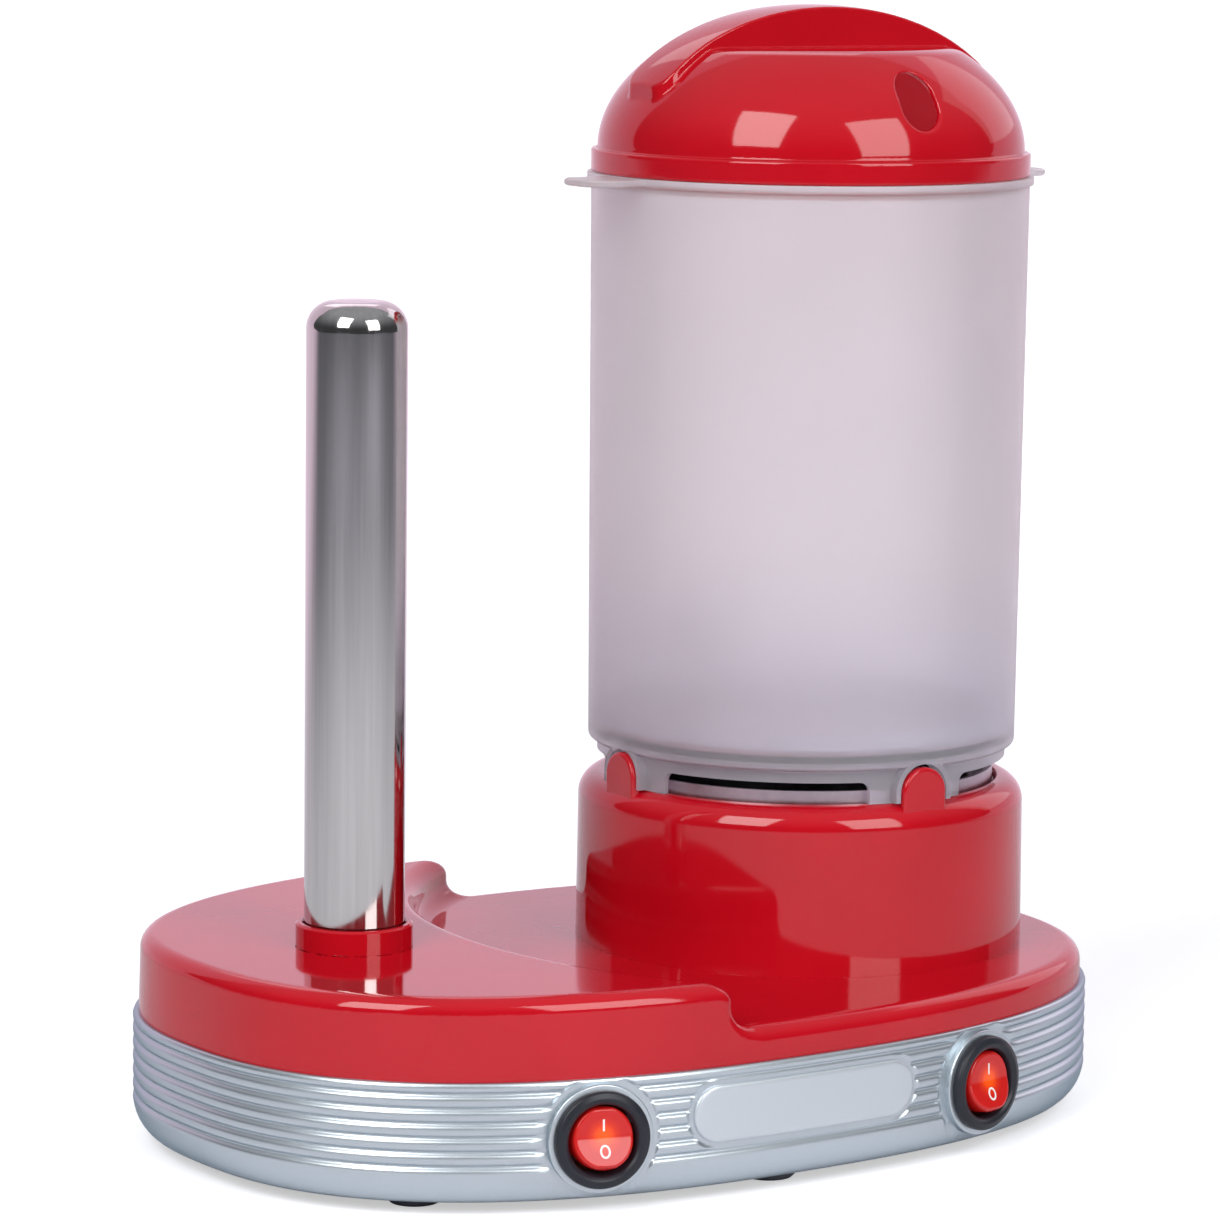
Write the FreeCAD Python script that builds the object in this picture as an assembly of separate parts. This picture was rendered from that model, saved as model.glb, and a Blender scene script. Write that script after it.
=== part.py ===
import FreeCAD, Part
import math
import os

# Hot dog toaster: an oval base with a heated spike on the left and a round steaming tower on the
# right. Millimetres. +X points from the spike to the tower, -Y is the front with the two switches,
# +Z is up, and z = 0 is the surface that the feet stand on.

# ---- driving dimensions ----------------------------------------------------------------------
HALF_LENGTH = 123.2      # base over the ribs of the silver band, along X
HALF_WIDTH = 85.4        # base over the ribs, along Y
SQUARENESS = 2.43        # exponent of the oval: 2 is an ellipse, larger is squarer

TOWER_OFFSET = 55.0      # tower axis from the middle of the oval
SPIKE_OFFSET = -77.0     # spike axis from the middle of the oval
PANEL_OFFSET = -5.0      # middle of the switch panel from the middle of the oval
EAR_REACH = 69.0         # tip of the container's ears from the tower axis

FOOT_HEIGHT = 3.0        # visible height of the rubber feet
BAND_TOP = 31.8          # joint between the silver band and the red cover
DECK_TOP = 40.0          # low deck round the tower
PLATEAU_TOP = 51.0       # raised plateau round the spike
TOWER_TOP = 81.5         # rim that the container stands on
LID_SEAT = 231.5         # flange of the container, where the lid rests

COVER_WALL = 2.2         # red housing
BAND_WALL = 1.9          # silver band, under its grooves
RIB_PITCH = 3.4
RIB_GROOVES = 6
GROOVE_DEPTH = 0.9

TOWER_RADIUS = 56.0
OPENING_RADIUS = 49.0    # mouth of the tower
LUG_WIDTH = 12.5
LUG_TOP = 90.2
LUG_INNER = 51.5         # flat inner face of a lug from the tower axis
LUG_DEPTH = 2.6
KEY_TURN = -2.5          # degrees: lugs, container and tray sit slightly turned on the base

CONTAINER_FOOT_RADIUS = 53.5   # outside of the container's wall at its lower end
CONTAINER_TOP_RADIUS = 54.3    # and at its upper end
CONTAINER_WALL = 1.6
SKIRT_RADIUS = 51.2
LID_RADIUS = 54.5
LID_HEIGHT = 41.5
LID_TURN = -4.6          # degrees: the loose lid sits slightly turned

TUBE_RADIUS = 12.0
TUBE_WALL = 0.8
NECK_STEP = 0.25
TUBE_TOP = 205.0
COLLAR_RADIUS = 14.0
COLLAR_HEIGHT = 5.8

BEZEL_RADIUS = 11.5      # round rocker switch, 23 mm bezel in a 20 mm cut-out
SWITCH_BODY_RADIUS = 9.9
SWITCH_SPACING = 109.5   # between the two switch axes, along X
SWITCH_HEIGHT = 18.0
ROCKER_THROW = 24.0      # degrees from ON to OFF

# ---- derived places --------------------------------------------------------------------------
# The origin is the middle of the bounding box: ears on the right, band on the left.
BASE_X = (HALF_LENGTH - TOWER_OFFSET - EAR_REACH) / 2
TOWER_X = BASE_X + TOWER_OFFSET
SPIKE_X = BASE_X + SPIKE_OFFSET
PANEL_X = BASE_X + PANEL_OFFSET
SWITCH_X = {"left": PANEL_X - SWITCH_SPACING / 2, "right": PANEL_X + SWITCH_SPACING / 2}

COVER_INSET = 1.6                            # red wall behind the crest of the ribs
CAVITY_INSET = COVER_INSET + COVER_WALL
BAND_INNER_INSET = GROOVE_DEPTH + BAND_WALL
DECK_UNDERSIDE = DECK_TOP - COVER_WALL
PLATEAU_UNDERSIDE = PLATEAU_TOP - COVER_WALL
FLOOR_BOTTOM = FOOT_HEIGHT + 0.6             # bottom cover
FLOOR_TOP = FLOOR_BOTTOM + 2.2

# The riser between plateau and deck follows an arc that is askew to the base's long axis.
RISER_X = BASE_X + 68.5
RISER_Y = -13.0
RISER_RADIUS = 120.0                         # where the plateau starts to fall
RISER_ROUND = 4.8                            # both rounds of its S

FOOT_SPOTS = [(PANEL_X + sx * 83.8, sy * 45.7) for sx in (-1, 1) for sy in (-1, 1)]
FOOT_SPOTS += [(PANEL_X, sy * 69.8) for sy in (-1, 1)]
POST_SPOTS = [(BASE_X + x, sy * y) for x, y in ((-104, 24), (-26, 64), (98, 42)) for sy in (-1, 1)]
STUD_ANGLES = (30, 150, 270)                 # studs of the dish round the tower axis
CORD_Z = 17.0
BUSH_PROUD = 1.58                            # flange of the cord bush behind the ribs
BRACKET_Z = 34.6                             # underside of the spike's bracket
BLOCK_Z = FLOOR_TOP + 3.0                    # terminal block on its pad
POLES = [PANEL_X + 9.0 * i for i in (-1.5, -0.5, 0.5, 1.5)]
CLAMP_Z = 54.3                               # underside of the dish's clamp ring
DISH_BOTTOM = 64.6

V = FreeCAD.Vector
UP = V(0, 0, 1)


# ---- shared shapes ---------------------------------------------------------------------------
def disc(x, y, radius, z0, z1):
    return Part.makeCylinder(radius, z1 - z0, V(x, y, z0), UP)


def ring(x, y, outer, inner, z0, z1):
    return disc(x, y, outer, z0, z1).cut(disc(x, y, inner, z0, z1))


def block(x0, x1, y0, y1, z0, z1):
    return Part.makeBox(x1 - x0, y1 - y0, z1 - z0, V(x0, y0, z0))


def rod(start, end, radius):
    axis = end.sub(start)
    return Part.makeCylinder(radius, axis.Length, start, axis)


def turned(path, x, y):
    """Solid of revolution about the upright axis through (x, y). The path holds (r, z) corners;
    an entry (r_mid, z_mid, r, z) reaches its corner along an arc."""
    edges = []
    last = path[0]
    for step in path[1:] + path[:1]:
        start = V(x + last[-2], y, last[-1])
        end = V(x + step[-2], y, step[-1])
        if len(step) == 4:
            edges.append(Part.Arc(start, V(x + step[0], y, step[1]), end).toShape())
        else:
            edges.append(Part.makeLine(start, end))
        last = step
    return Part.Face(Part.Wire(edges)).revolve(V(x, y, 0), UP, 360)


def arc_mid(centre_r, centre_z, radius, degrees):
    """Point of a round, for the middle of an arc in a turned path."""
    angle = math.radians(degrees)
    return centre_r + radius * math.cos(angle), centre_z + radius * math.sin(angle)


def around(shape, x, y, degrees):
    turned_shape = shape.copy()
    turned_shape.rotate(V(x, y, 0), UP, degrees)
    return turned_shape


def polar(x, y, radius, degrees):
    angle = math.radians(degrees)
    return x + radius * math.cos(angle), y + radius * math.sin(angle)


def joined(shapes):
    whole = shapes[0]
    for shape in shapes[1:]:
        whole = whole.fuse(shape)
    return whole.removeSplitter()


def lead(points, radius):
    """Insulated wire: straight runs joined by tangent arcs, each 0.45 of the shorter run long."""
    edges = []
    start = points[0]
    for before, corner, after in zip(points, points[1:], points[2:]):
        reach = 0.45 * min(corner.sub(before).Length, after.sub(corner).Length)
        into = before.sub(corner).normalize()
        out = after.sub(corner).normalize()
        first = corner.add(V(into).multiply(reach))
        last = corner.add(V(out).multiply(reach))
        half = into.getAngle(out) / 2
        bisector = into.add(out).normalize()
        depth = reach / math.cos(half) - reach * math.tan(half)
        edges.append(Part.makeLine(start, first))
        edges.append(Part.Arc(first, corner.add(V(bisector).multiply(depth)), last).toShape())
        start = last
    edges.append(Part.makeLine(start, points[-1]))
    spine = Part.Wire(edges)
    section = Part.Wire(Part.makeCircle(radius, points[0], points[1].sub(points[0])))
    return spine.makePipeShell([section], True, False)


# ---- the oval --------------------------------------------------------------------------------
def oval_corner(angle, inset):
    a = HALF_LENGTH - inset
    b = HALF_WIDTH - inset
    c = abs(math.cos(angle)) / a
    s = abs(math.sin(angle)) / b
    reach = (c ** SQUARENESS + s ** SQUARENESS) ** (-1 / SQUARENESS)
    return BASE_X + reach * math.cos(angle), reach * math.sin(angle)


def oval(inset, z):
    points = []
    for i in range(48):
        x, y = oval_corner(2 * math.pi * i / 48, inset)
        points.append(V(x, y, z))
    curve = Part.BSplineCurve()
    curve.interpolate(points, PeriodicFlag=True)
    return Part.Wire(curve.toShape())


def oval_stack(levels):
    """Solid through ovals, given as (inset, z) from one end to the other."""
    return Part.makeLoft([oval(inset, z) for inset, z in levels], True, True)


def oval_slab(inset, z0, z1):
    return oval_stack([(inset, z0), (inset, z1)])


def panel_point(x, inset=0.0):
    """Point of the front outline at x, and its outward normal."""
    a = HALF_LENGTH - inset
    b = HALF_WIDTH - inset
    u = (x - BASE_X) / a
    v = (1 - abs(u) ** SQUARENESS) ** (1 / SQUARENESS)
    nx = math.copysign(abs(u) ** (SQUARENESS - 1) / a, u)
    ny = -(v ** (SQUARENESS - 1)) / b
    return V(x, -b * v, SWITCH_HEIGHT), V(nx, ny, 0).normalize()


def on_panel(shape, x):
    """Place a shape made about local +Z (outwards) with local +Y up on the panel at x."""
    point, normal = panel_point(x)
    side = UP.cross(normal)
    matrix = FreeCAD.Matrix(
        side.x, UP.x, normal.x, point.x,
        side.y, UP.y, normal.y, point.y,
        side.z, UP.z, normal.z, point.z,
        0, 0, 0, 1)
    placed = shape.copy()
    placed.Placement = FreeCAD.Placement(matrix).multiply(shape.Placement)
    return placed


def stadium(x, length, height, z, y0, y1):
    """Bar with round ends along X, run through from y0 to y1."""
    half = (length - height) / 2
    bar = block(x - half, x + half, y0, y1, z - height / 2, z + height / 2)
    ends = [Part.makeCylinder(height / 2, y1 - y0, V(x + s * half, y0, z), V(0, 1, 0)) for s in (-1, 1)]
    return joined([bar] + ends)


# ---- red cover -------------------------------------------------------------------------------
def riser_tool(shift, low, high):
    """Space over the deck: everything inside the riser's arc, bounded by its S-shaped section."""
    r = RISER_ROUND
    top = RISER_RADIUS + shift
    bottom = top - 2 * r
    path = [
        (0, low),
        (bottom, low),
        (*arc_mid(bottom, low + r, r, -45), bottom + r, low + r),
        (bottom + r, high - r),
        (*arc_mid(top, high - r, r, 135), top, high),
        (top, high + 20),
        (0, high + 20)]
    return turned(path, RISER_X, RISER_Y)


def rounded_slab(inset, top, radius):
    """Oval block from the joint with the band up to a top whose border is rounded."""
    slab = Part.Face(oval(inset, BAND_TOP)).extrude(V(0, 0, top - BAND_TOP))
    border = [edge for edge in slab.Edges if edge.BoundBox.ZMin > top - 0.5]
    return slab.makeFillet(radius, border)


def cover_block(inset, deck, plateau, radius, shift):
    """Deck and plateau in one solid; the riser is shifted when this is the hollow inside."""
    toe = disc(RISER_X, RISER_Y, RISER_RADIUS + shift - 2 * RISER_ROUND, BAND_TOP - 5, deck + 5)
    raised = rounded_slab(inset, plateau, radius).cut(riser_tool(shift, deck, plateau)).cut(toe)
    return raised.fuse(rounded_slab(inset, deck, radius).common(toe))


def tower_shell():
    wall = TOWER_RADIUS - COVER_WALL
    round_r = 6.0
    path = [
        (TOWER_RADIUS, DECK_TOP - 1),
        (TOWER_RADIUS, TOWER_TOP - round_r),
        (*arc_mid(TOWER_RADIUS - round_r, TOWER_TOP - round_r, round_r, 45),
         TOWER_RADIUS - round_r, TOWER_TOP),
        (OPENING_RADIUS, TOWER_TOP),
        (OPENING_RADIUS, TOWER_TOP - 2.4),
        (OPENING_RADIUS - 4.5, TOWER_TOP - 2.4),
        (OPENING_RADIUS - 4.5, TOWER_TOP - 4.6),
        (wall - 3.0, TOWER_TOP - 4.6),
        (wall, TOWER_TOP - 7.6),
        (wall, DECK_UNDERSIDE - 1.6),
        (TOWER_RADIUS + 1.8, DECK_UNDERSIDE - 1.6),
        (TOWER_RADIUS + 1.8, DECK_UNDERSIDE),
        (TOWER_RADIUS, DECK_UNDERSIDE)]
    return turned(path, TOWER_X, 0)


def lug():
    """Round-topped locating lug on the rim of the tower, facing +X."""
    half = LUG_WIDTH / 2
    inner = TOWER_X + LUG_INNER
    stem = block(inner, inner + LUG_DEPTH, -half, half, TOWER_TOP - 4, LUG_TOP - half)
    crown = Part.makeCylinder(half, LUG_DEPTH, V(inner, 0, LUG_TOP - half), V(1, 0, 0))
    return stem.fuse(crown)


def tower():
    """Ring that carries the dish and the container; its foot lip sits under the deck."""
    pieces = [tower_shell()]
    pieces += [around(lug(), TOWER_X, 0, turn + KEY_TURN) for turn in (0, 90, 180, 270)]
    for angle in STUD_ANGLES:
        x, y = polar(TOWER_X, 0, 49.5, angle + 60)
        pieces.append(ring(x, y, 3.6, 1.1, CLAMP_Z + 1.6, TOWER_TOP - 4))
    body = joined(pieces)
    for x, y in POST_SPOTS:
        body = body.cut(disc(x, y, 4.4, DECK_UNDERSIDE - 2, DECK_UNDERSIDE + 0.5))
    return body


def top_cover():
    body = cover_block(COVER_INSET, DECK_TOP, PLATEAU_TOP, 3.4, 0)
    body = body.cut(cover_block(CAVITY_INSET, DECK_UNDERSIDE, PLATEAU_UNDERSIDE, 1.6, COVER_WALL))
    lip = oval_slab(BAND_INNER_INSET + 0.2, BAND_TOP - 7, BAND_TOP + 1)
    lip = lip.cut(oval_slab(BAND_INNER_INSET + 2.0, BAND_TOP - 8, BAND_TOP + 2))
    well = disc(TOWER_X, 0, TOWER_RADIUS + 0.05, DECK_UNDERSIDE - 1, DECK_TOP + 1)
    body = body.cut(well).cut(disc(SPIKE_X, 0, 13.3, PLATEAU_UNDERSIDE - 1, PLATEAU_TOP + 1))
    for x in SWITCH_X.values():
        lip = lip.cut(on_panel(Part.makeCylinder(13.4, 30, V(0, 0, -20), UP), x))
    pieces = [body, lip]
    for x, y in POST_SPOTS:
        inside = math.hypot(x - RISER_X, y - RISER_Y) < RISER_RADIUS
        roof = DECK_TOP - 1 if inside else PLATEAU_TOP - 1
        pieces.append(ring(x, y, 4.0, 1.25, FLOOR_TOP + 2.4, roof))
    for side in (-1, 1):
        pieces.append(ring(SPIKE_X, side * 24, 3.6, 1.1, BRACKET_Z + 1.6, PLATEAU_TOP - 1))
    return joined(pieces)


def spike_collar():
    top = PLATEAU_TOP + COLLAR_HEIGHT
    path = [
        (TUBE_RADIUS + 0.25, BRACKET_Z + 2.8),
        (COLLAR_RADIUS - 0.8, BRACKET_Z + 2.8),
        (COLLAR_RADIUS - 0.8, PLATEAU_TOP),
        (COLLAR_RADIUS, PLATEAU_TOP),
        (COLLAR_RADIUS, top - 0.5),
        (COLLAR_RADIUS - 0.5, top),
        (TUBE_RADIUS + 0.55, top),
        (TUBE_RADIUS + 0.25, top - 0.4)]
    return turned(path, SPIKE_X, 0)


# ---- silver band -----------------------------------------------------------------------------
def band_levels():
    """Outer section of the band as (inset, z), from its top edge down over the grooves."""
    levels = [(0.5, BAND_TOP), (0.0, BAND_TOP - 0.5)]
    for i in range(RIB_GROOVES):
        z = BAND_TOP - 2.6 - RIB_PITCH * i
        levels += [(0.0, z + 0.95), (GROOVE_DEPTH, z + 0.35), (GROOVE_DEPTH, z - 0.35), (0.0, z - 0.95)]
    levels += [(0.1, 9.8), (0.5, 8.0), (1.2, 6.2), (2.4, 4.4), (4.2, FOOT_HEIGHT)]
    return levels


def side_band():
    outside = oval_stack(band_levels())
    hollow = oval_stack([
        (BAND_INNER_INSET, BAND_TOP + 1), (BAND_INNER_INSET, 8.5),
        (BAND_INNER_INSET + 2.2, 4.6), (BAND_INNER_INSET + 3.9, FOOT_HEIGHT - 1)])
    shell = outside.cut(hollow)
    flat = oval_slab(0.35, 9.0, BAND_TOP - 0.4).cut(oval_slab(BAND_INNER_INSET, 8, BAND_TOP + 1))
    around_plate = stadium(PANEL_X, 66.5, 17.0, 21.0, -90, -60)
    pieces = [shell, flat.common(around_plate)]
    for x in SWITCH_X.values():
        smooth = on_panel(Part.makeCylinder(15.0, 20, V(0, 0, -12), UP), x)
        boss = on_panel(Part.makeCylinder(12.75, 5.4, V(0, 0, -4.5), UP), x)
        pieces += [flat.common(smooth), boss]
    shelf = oval_slab(BAND_INNER_INSET - 0.5, FLOOR_TOP, FLOOR_TOP + 1.6)
    shelf = shelf.cut(oval_slab(9.6, FLOOR_TOP - 1, FLOOR_TOP + 3))
    for x, y in POST_SPOTS:
        shelf = shelf.cut(disc(x, y, 6.2, FLOOR_TOP - 1, FLOOR_TOP + 3))
    band = joined(pieces + [shelf])
    for x in SWITCH_X.values():
        band = band.cut(on_panel(Part.makeCylinder(SWITCH_BODY_RADIUS + 0.1, 30, V(0, 0, -20), UP), x))
    plate_seat = oval_slab(-1, 9, BAND_TOP).cut(oval_slab(1.1, 8, BAND_TOP + 1))
    band = band.cut(plate_seat.common(stadium(PANEL_X, 63.4, 13.9, 21.0, -90, -60)))
    rear = Part.makeCylinder(6.0, 30, V(PANEL_X, HALF_WIDTH - 15, CORD_Z), V(0, 1, 0))
    return band.cut(rear).removeSplitter()


def name_plate():
    sheet = oval_slab(-0.3, 9, BAND_TOP).cut(oval_slab(1.1, 8, BAND_TOP + 1))
    return sheet.common(stadium(PANEL_X, 63.0, 13.5, 21.0, -90, -60))


# ---- bottom ----------------------------------------------------------------------------------
def bottom_cover():
    plate = oval_slab(6.9, FLOOR_BOTTOM, FLOOR_TOP)
    pieces = [plate]
    for x, y in POST_SPOTS:
        pieces.append(disc(x, y, 5.4, FLOOR_TOP - 1, FLOOR_TOP + 2.4))
    for x in (PANEL_X - 9, PANEL_X + 9):
        pieces.append(ring(x, 66, 3.2, 1.1, FLOOR_TOP - 0.5, CORD_Z - 3.6))
    pieces.append(block(POLES[0] - 6, POLES[3] + 6, 38, 50, FLOOR_TOP - 0.5, BLOCK_Z))
    cover = joined(pieces)
    for x, y in POST_SPOTS:
        cover = cover.cut(disc(x, y, 3.2, FLOOR_BOTTOM - 1, FLOOR_BOTTOM + 2.6))
        cover = cover.cut(disc(x, y, 1.7, FLOOR_BOTTOM, FLOOR_TOP + 4))
    for x, y in FOOT_SPOTS:
        cover = cover.cut(disc(x, y, 2.4, FLOOR_BOTTOM - 1, FLOOR_TOP + 1))
    for i in range(-3, 4):
        reach = 26 - 2.5 * abs(i)
        x = TOWER_X + 9 * i
        slot = block(x - 1.5, x + 1.5, -reach, reach, FLOOR_BOTTOM - 1, FLOOR_TOP + 1)
        cover = cover.cut(slot)
    return cover.removeSplitter()


def rubber_foot(x, y):
    path = [
        (0, 0), (5.7, 0), (6.5, 0.8), (6.5, FLOOR_BOTTOM), (2.4, FLOOR_BOTTOM), (2.4, FLOOR_TOP),
        (3.4, FLOOR_TOP), (2.0, FLOOR_TOP + 2.2), (0, FLOOR_TOP + 2.2)]
    return turned(path, x, y)


def screw(x, y, seat, shank, length, head):
    """Screw with a cross recess, its head below the seat and its shank pointing up."""
    low = seat - 0.75 * head
    body = disc(x, y, head, low, seat).fuse(disc(x, y, shank, low, seat + length))
    recess = block(x - 0.6 * head, x + 0.6 * head, y - 0.35, y + 0.35, low - 1, low + 0.9)
    recess = recess.fuse(block(x - 0.35, x + 0.35, y - 0.6 * head, y + 0.6 * head, low - 1, low + 0.9))
    return body.cut(recess)


def housing_screws():
    return Part.makeCompound([screw(x, y, FLOOR_BOTTOM + 2.6, 1.25, 13, 2.8) for x, y in POST_SPOTS])


def rubber_feet():
    return Part.makeCompound([rubber_foot(x, y) for x, y in FOOT_SPOTS])


# ---- spike -----------------------------------------------------------------------------------
def spike_tube():
    """Closed tube, necked where it stands in its collar, on a flange under the bracket."""
    r = TUBE_RADIUS
    neck = r - NECK_STEP
    collar_top = PLATEAU_TOP + COLLAR_HEIGHT
    inner = r - TUBE_WALL
    crown = 7.0
    foot = BRACKET_Z + 1.6
    path = [
        (inner, foot), (r + 1.1, foot), (r + 1.1, foot + 1.2), (neck, foot + 1.2),
        (neck, collar_top + 0.05), (r, collar_top + 0.3), (r, TUBE_TOP - crown),
        (r - 1.6, TUBE_TOP - 2.4, 5.0, TUBE_TOP - 0.2), (0, TUBE_TOP),
        (0, TUBE_TOP - TUBE_WALL), (5.0, TUBE_TOP - TUBE_WALL - 0.2),
        (inner - 1.6, TUBE_TOP - 3.0, inner, TUBE_TOP - crown)]
    return turned(path, SPIKE_X, 0)


def spike_heater():
    path = [(0, 46), (9.6, 46), (9.6, 188), (8.2, 190), (0, 190)]
    return turned(path, SPIKE_X, 0)


def spike_cap():
    plug = disc(SPIKE_X, 0, TUBE_RADIUS - TUBE_WALL - 0.05, 36.2, 45.8)
    for side in (-1, 1):
        plug = plug.cut(disc(SPIKE_X + 4 * side, 0, 1.3, 35, 47))
    return plug


def spike_bracket():
    """Sheet plate under the foot of the tube, screwed to two posts of the cover."""
    low = BRACKET_Z
    plate = block(SPIKE_X - 11, SPIKE_X + 11, -29, 29, low, low + 1.6)
    plate = plate.fuse(disc(SPIKE_X, 0, 16, low, low + 1.6))
    plate = plate.cut(disc(SPIKE_X, 0, 8.5, low - 1, low + 3))
    for side in (-1, 1):
        plate = plate.cut(disc(SPIKE_X, 24 * side, 1.6, low - 1, low + 3))
    return plate.removeSplitter()


def bracket_screws():
    return Part.makeCompound([screw(SPIKE_X, 24 * side, BRACKET_Z, 1.1, 12, 2.5) for side in (-1, 1)])


# ---- heating dish ----------------------------------------------------------------------------
def heating_dish():
    rim = TOWER_TOP - 0.2
    path = [
        (0, DISH_BOTTOM), (39.0, DISH_BOTTOM),
        (*arc_mid(39.0, 68.6, 4.0, -45), 43.0, 68.6),
        (43.6, rim - 1.2), (48.2, rim - 1.2), (48.2, rim + 3.2), (47.2, rim + 3.2), (47.2, rim),
        (43.2, rim),
        (*arc_mid(43.2, rim - 1.0, 1.0, 135), 42.2, rim - 1.0),
        (41.6, 68.8),
        (*arc_mid(39.0, 68.8, 2.6, -45), 39.0, 66.2),
        (0, 66.2)]
    dish = turned(path, TOWER_X, 0)
    studs = []
    for angle in STUD_ANGLES:
        x, y = polar(TOWER_X, 0, 37, angle)
        studs.append(disc(x, y, 1.5, CLAMP_Z - 3.8, DISH_BOTTOM + 0.4))
    return joined([dish] + studs)


def dish_seal():
    low = TOWER_TOP - 2.4
    return turned([(44.6, low), (48.6, low), (48.6, low + 1.0), (44.6, low + 1.0)], TOWER_X, 0)


def heating_element():
    """Tubular heater: an open ring under the dish whose two ends turn down."""
    r = 3.2
    z = DISH_BOTTOM - r
    first = V(*polar(TOWER_X, 0, 28, 200), z)
    tangent = V(-math.sin(math.radians(200)), math.cos(math.radians(200)), 0)
    section = Part.Face(Part.Wire(Part.makeCircle(r, first, tangent)))
    hoop = section.revolve(V(TOWER_X, 0, 0), UP, 320)
    ends = []
    for angle in (200, 160):
        x, y = polar(TOWER_X, 0, 28, angle)
        ends += [Part.makeSphere(r, V(x, y, z)), disc(x, y, r, 52, z), disc(x, y, 1.2, 48, 53)]
    return joined([hoop] + ends)


def dish_clamp():
    """Sheet ring that bears on the cover's posts; the dish's studs are drawn down through it."""
    plate = ring(TOWER_X, 0, 53.0, 33.0, CLAMP_Z, CLAMP_Z + 1.6)
    for angle in STUD_ANGLES:
        x, y = polar(TOWER_X, 0, 37, angle)
        plate = plate.cut(disc(x, y, 1.7, CLAMP_Z - 1, CLAMP_Z + 3))
        x, y = polar(TOWER_X, 0, 49.5, angle + 60)
        plate = plate.cut(disc(x, y, 1.5, CLAMP_Z - 1, CLAMP_Z + 3))
    return plate


def hex_nut(x, y, z, across, height, bore):
    corners = [V(*polar(x, y, across / math.sqrt(3), 60 * i), z) for i in range(7)]
    body = Part.Face(Part.makePolygon(corners)).extrude(V(0, 0, height))
    return body.cut(disc(x, y, bore, z - 1, z + height + 1))


def dish_nuts():
    nuts = []
    for angle in STUD_ANGLES:
        x, y = polar(TOWER_X, 0, 37, angle)
        nuts.append(hex_nut(x, y, CLAMP_Z - 2.5, 5.5, 2.5, 1.55))
    return Part.makeCompound(nuts)


def clamp_ring_screws():
    screws = []
    for angle in STUD_ANGLES:
        x, y = polar(TOWER_X, 0, 49.5, angle + 60)
        screws.append(screw(x, y, CLAMP_Z, 1.1, 12, 2.5))
    return Part.makeCompound(screws)


def thermostat():
    body = disc(TOWER_X, 0, 8.0, DISH_BOTTOM - 5.8, DISH_BOTTOM)
    body = body.fuse(disc(TOWER_X, 0, 6.4, 53.5, DISH_BOTTOM - 5.5))
    for side in (-1, 1):
        x = TOWER_X + 3.6 * side
        body = body.fuse(block(x - 0.4, x + 0.4, -2.2, 2.2, 47.5, 54))
    return body.removeSplitter()


def thermal_fuse():
    z = DISH_BOTTOM - 2.2
    fuse = rod(V(TOWER_X - 7, 17, z), V(TOWER_X + 7, 17, z), 2.2)
    ends = rod(V(TOWER_X - 13, 17, z), V(TOWER_X + 13, 17, z), 0.6)
    return joined([fuse, ends])


def heat_shield():
    path = [(0, 44), (49, 44), (51, 46), (51, 50), (50, 50), (50, 46.4), (48.6, 45), (0, 45)]
    pan = turned(path, TOWER_X, 0)
    pan = pan.cut(disc(TOWER_X, 0, 6, 43, 46))
    for angle in (200, 160):
        x, y = polar(TOWER_X, 0, 28, angle)
        pan = pan.cut(disc(x, y, 4, 43, 46))
    for angle in STUD_ANGLES:
        x, y = polar(TOWER_X, 0, 43, angle + 20)
        pan = pan.cut(disc(x, y, 1.6, 43, 46))
    return pan


def shield_spacers():
    spacers = []
    for angle in STUD_ANGLES:
        x, y = polar(TOWER_X, 0, 43, angle + 20)
        spacers.append(disc(x, y, 2.8, 45, CLAMP_Z).fuse(disc(x, y, 1.5, 42.5, 46)))
    return Part.makeCompound(spacers)


# ---- electrics -------------------------------------------------------------------------------
PIVOT_DEPTH = -0.4       # rocker pivot behind the seat of the bezel
BEZEL_SEAT = 0.9         # boss of the band, proud of the ribs
MOUTH_RADIUS = 8.2
ROCKER_RADIUS = 7.35


def switch_body():
    """Bezel and housing about local +Z, open at the front, with bores for the rocker's pins."""
    seat = BEZEL_SEAT
    path = [
        (0, -13), (SWITCH_BODY_RADIUS, -13), (SWITCH_BODY_RADIUS, seat), (BEZEL_RADIUS, seat),
        (BEZEL_RADIUS, seat + 1.0),
        (*arc_mid(BEZEL_RADIUS - 1.4, seat + 1.0, 1.4, 45), BEZEL_RADIUS - 1.4, seat + 2.4),
        (MOUTH_RADIUS + 0.5, seat + 2.4), (MOUTH_RADIUS, seat + 1.9), (MOUTH_RADIUS, -10), (0, -10)]
    body = turned(path, 0, 0)
    pin_bore = rod(V(-9.3, 0, PIVOT_DEPTH), V(9.3, 0, PIVOT_DEPTH), 1.25)
    return body.cut(pin_bore)


def rocker():
    """Hollow rocker with a shallow V front about local +Z, tilted to ON: its upper end is in."""
    pivot = PIVOT_DEPTH
    drum = rod(V(-9, 0, pivot), V(9, 0, pivot), 7.7)
    body = Part.makeCylinder(ROCKER_RADIUS, 14, V(0, 0, -6), UP).common(drum)
    face = math.tan(math.radians(10))
    crest = 2.6
    rise = crest + 9 * face
    front = [V(-9, 0, crest), V(-9, 9, rise), V(-9, 9, 12), V(-9, -9, 12), V(-9, -9, rise)]
    valley = Part.Face(Part.makePolygon(front + front[:1])).extrude(V(18, 0, 0))
    body = body.cut(valley)
    hollow = Part.makeCylinder(ROCKER_RADIUS - 1.3, 8.2, V(0, 0, -7), UP)
    body = body.cut(hollow)
    body = body.fuse(rod(V(-9.1, 0, pivot), V(-6.4, 0, pivot), 1.2))
    body = body.fuse(rod(V(6.4, 0, pivot), V(9.1, 0, pivot), 1.2)).removeSplitter()
    body.rotate(V(0, 0, pivot), V(1, 0, 0), -ROCKER_THROW / 2)
    return body


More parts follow.
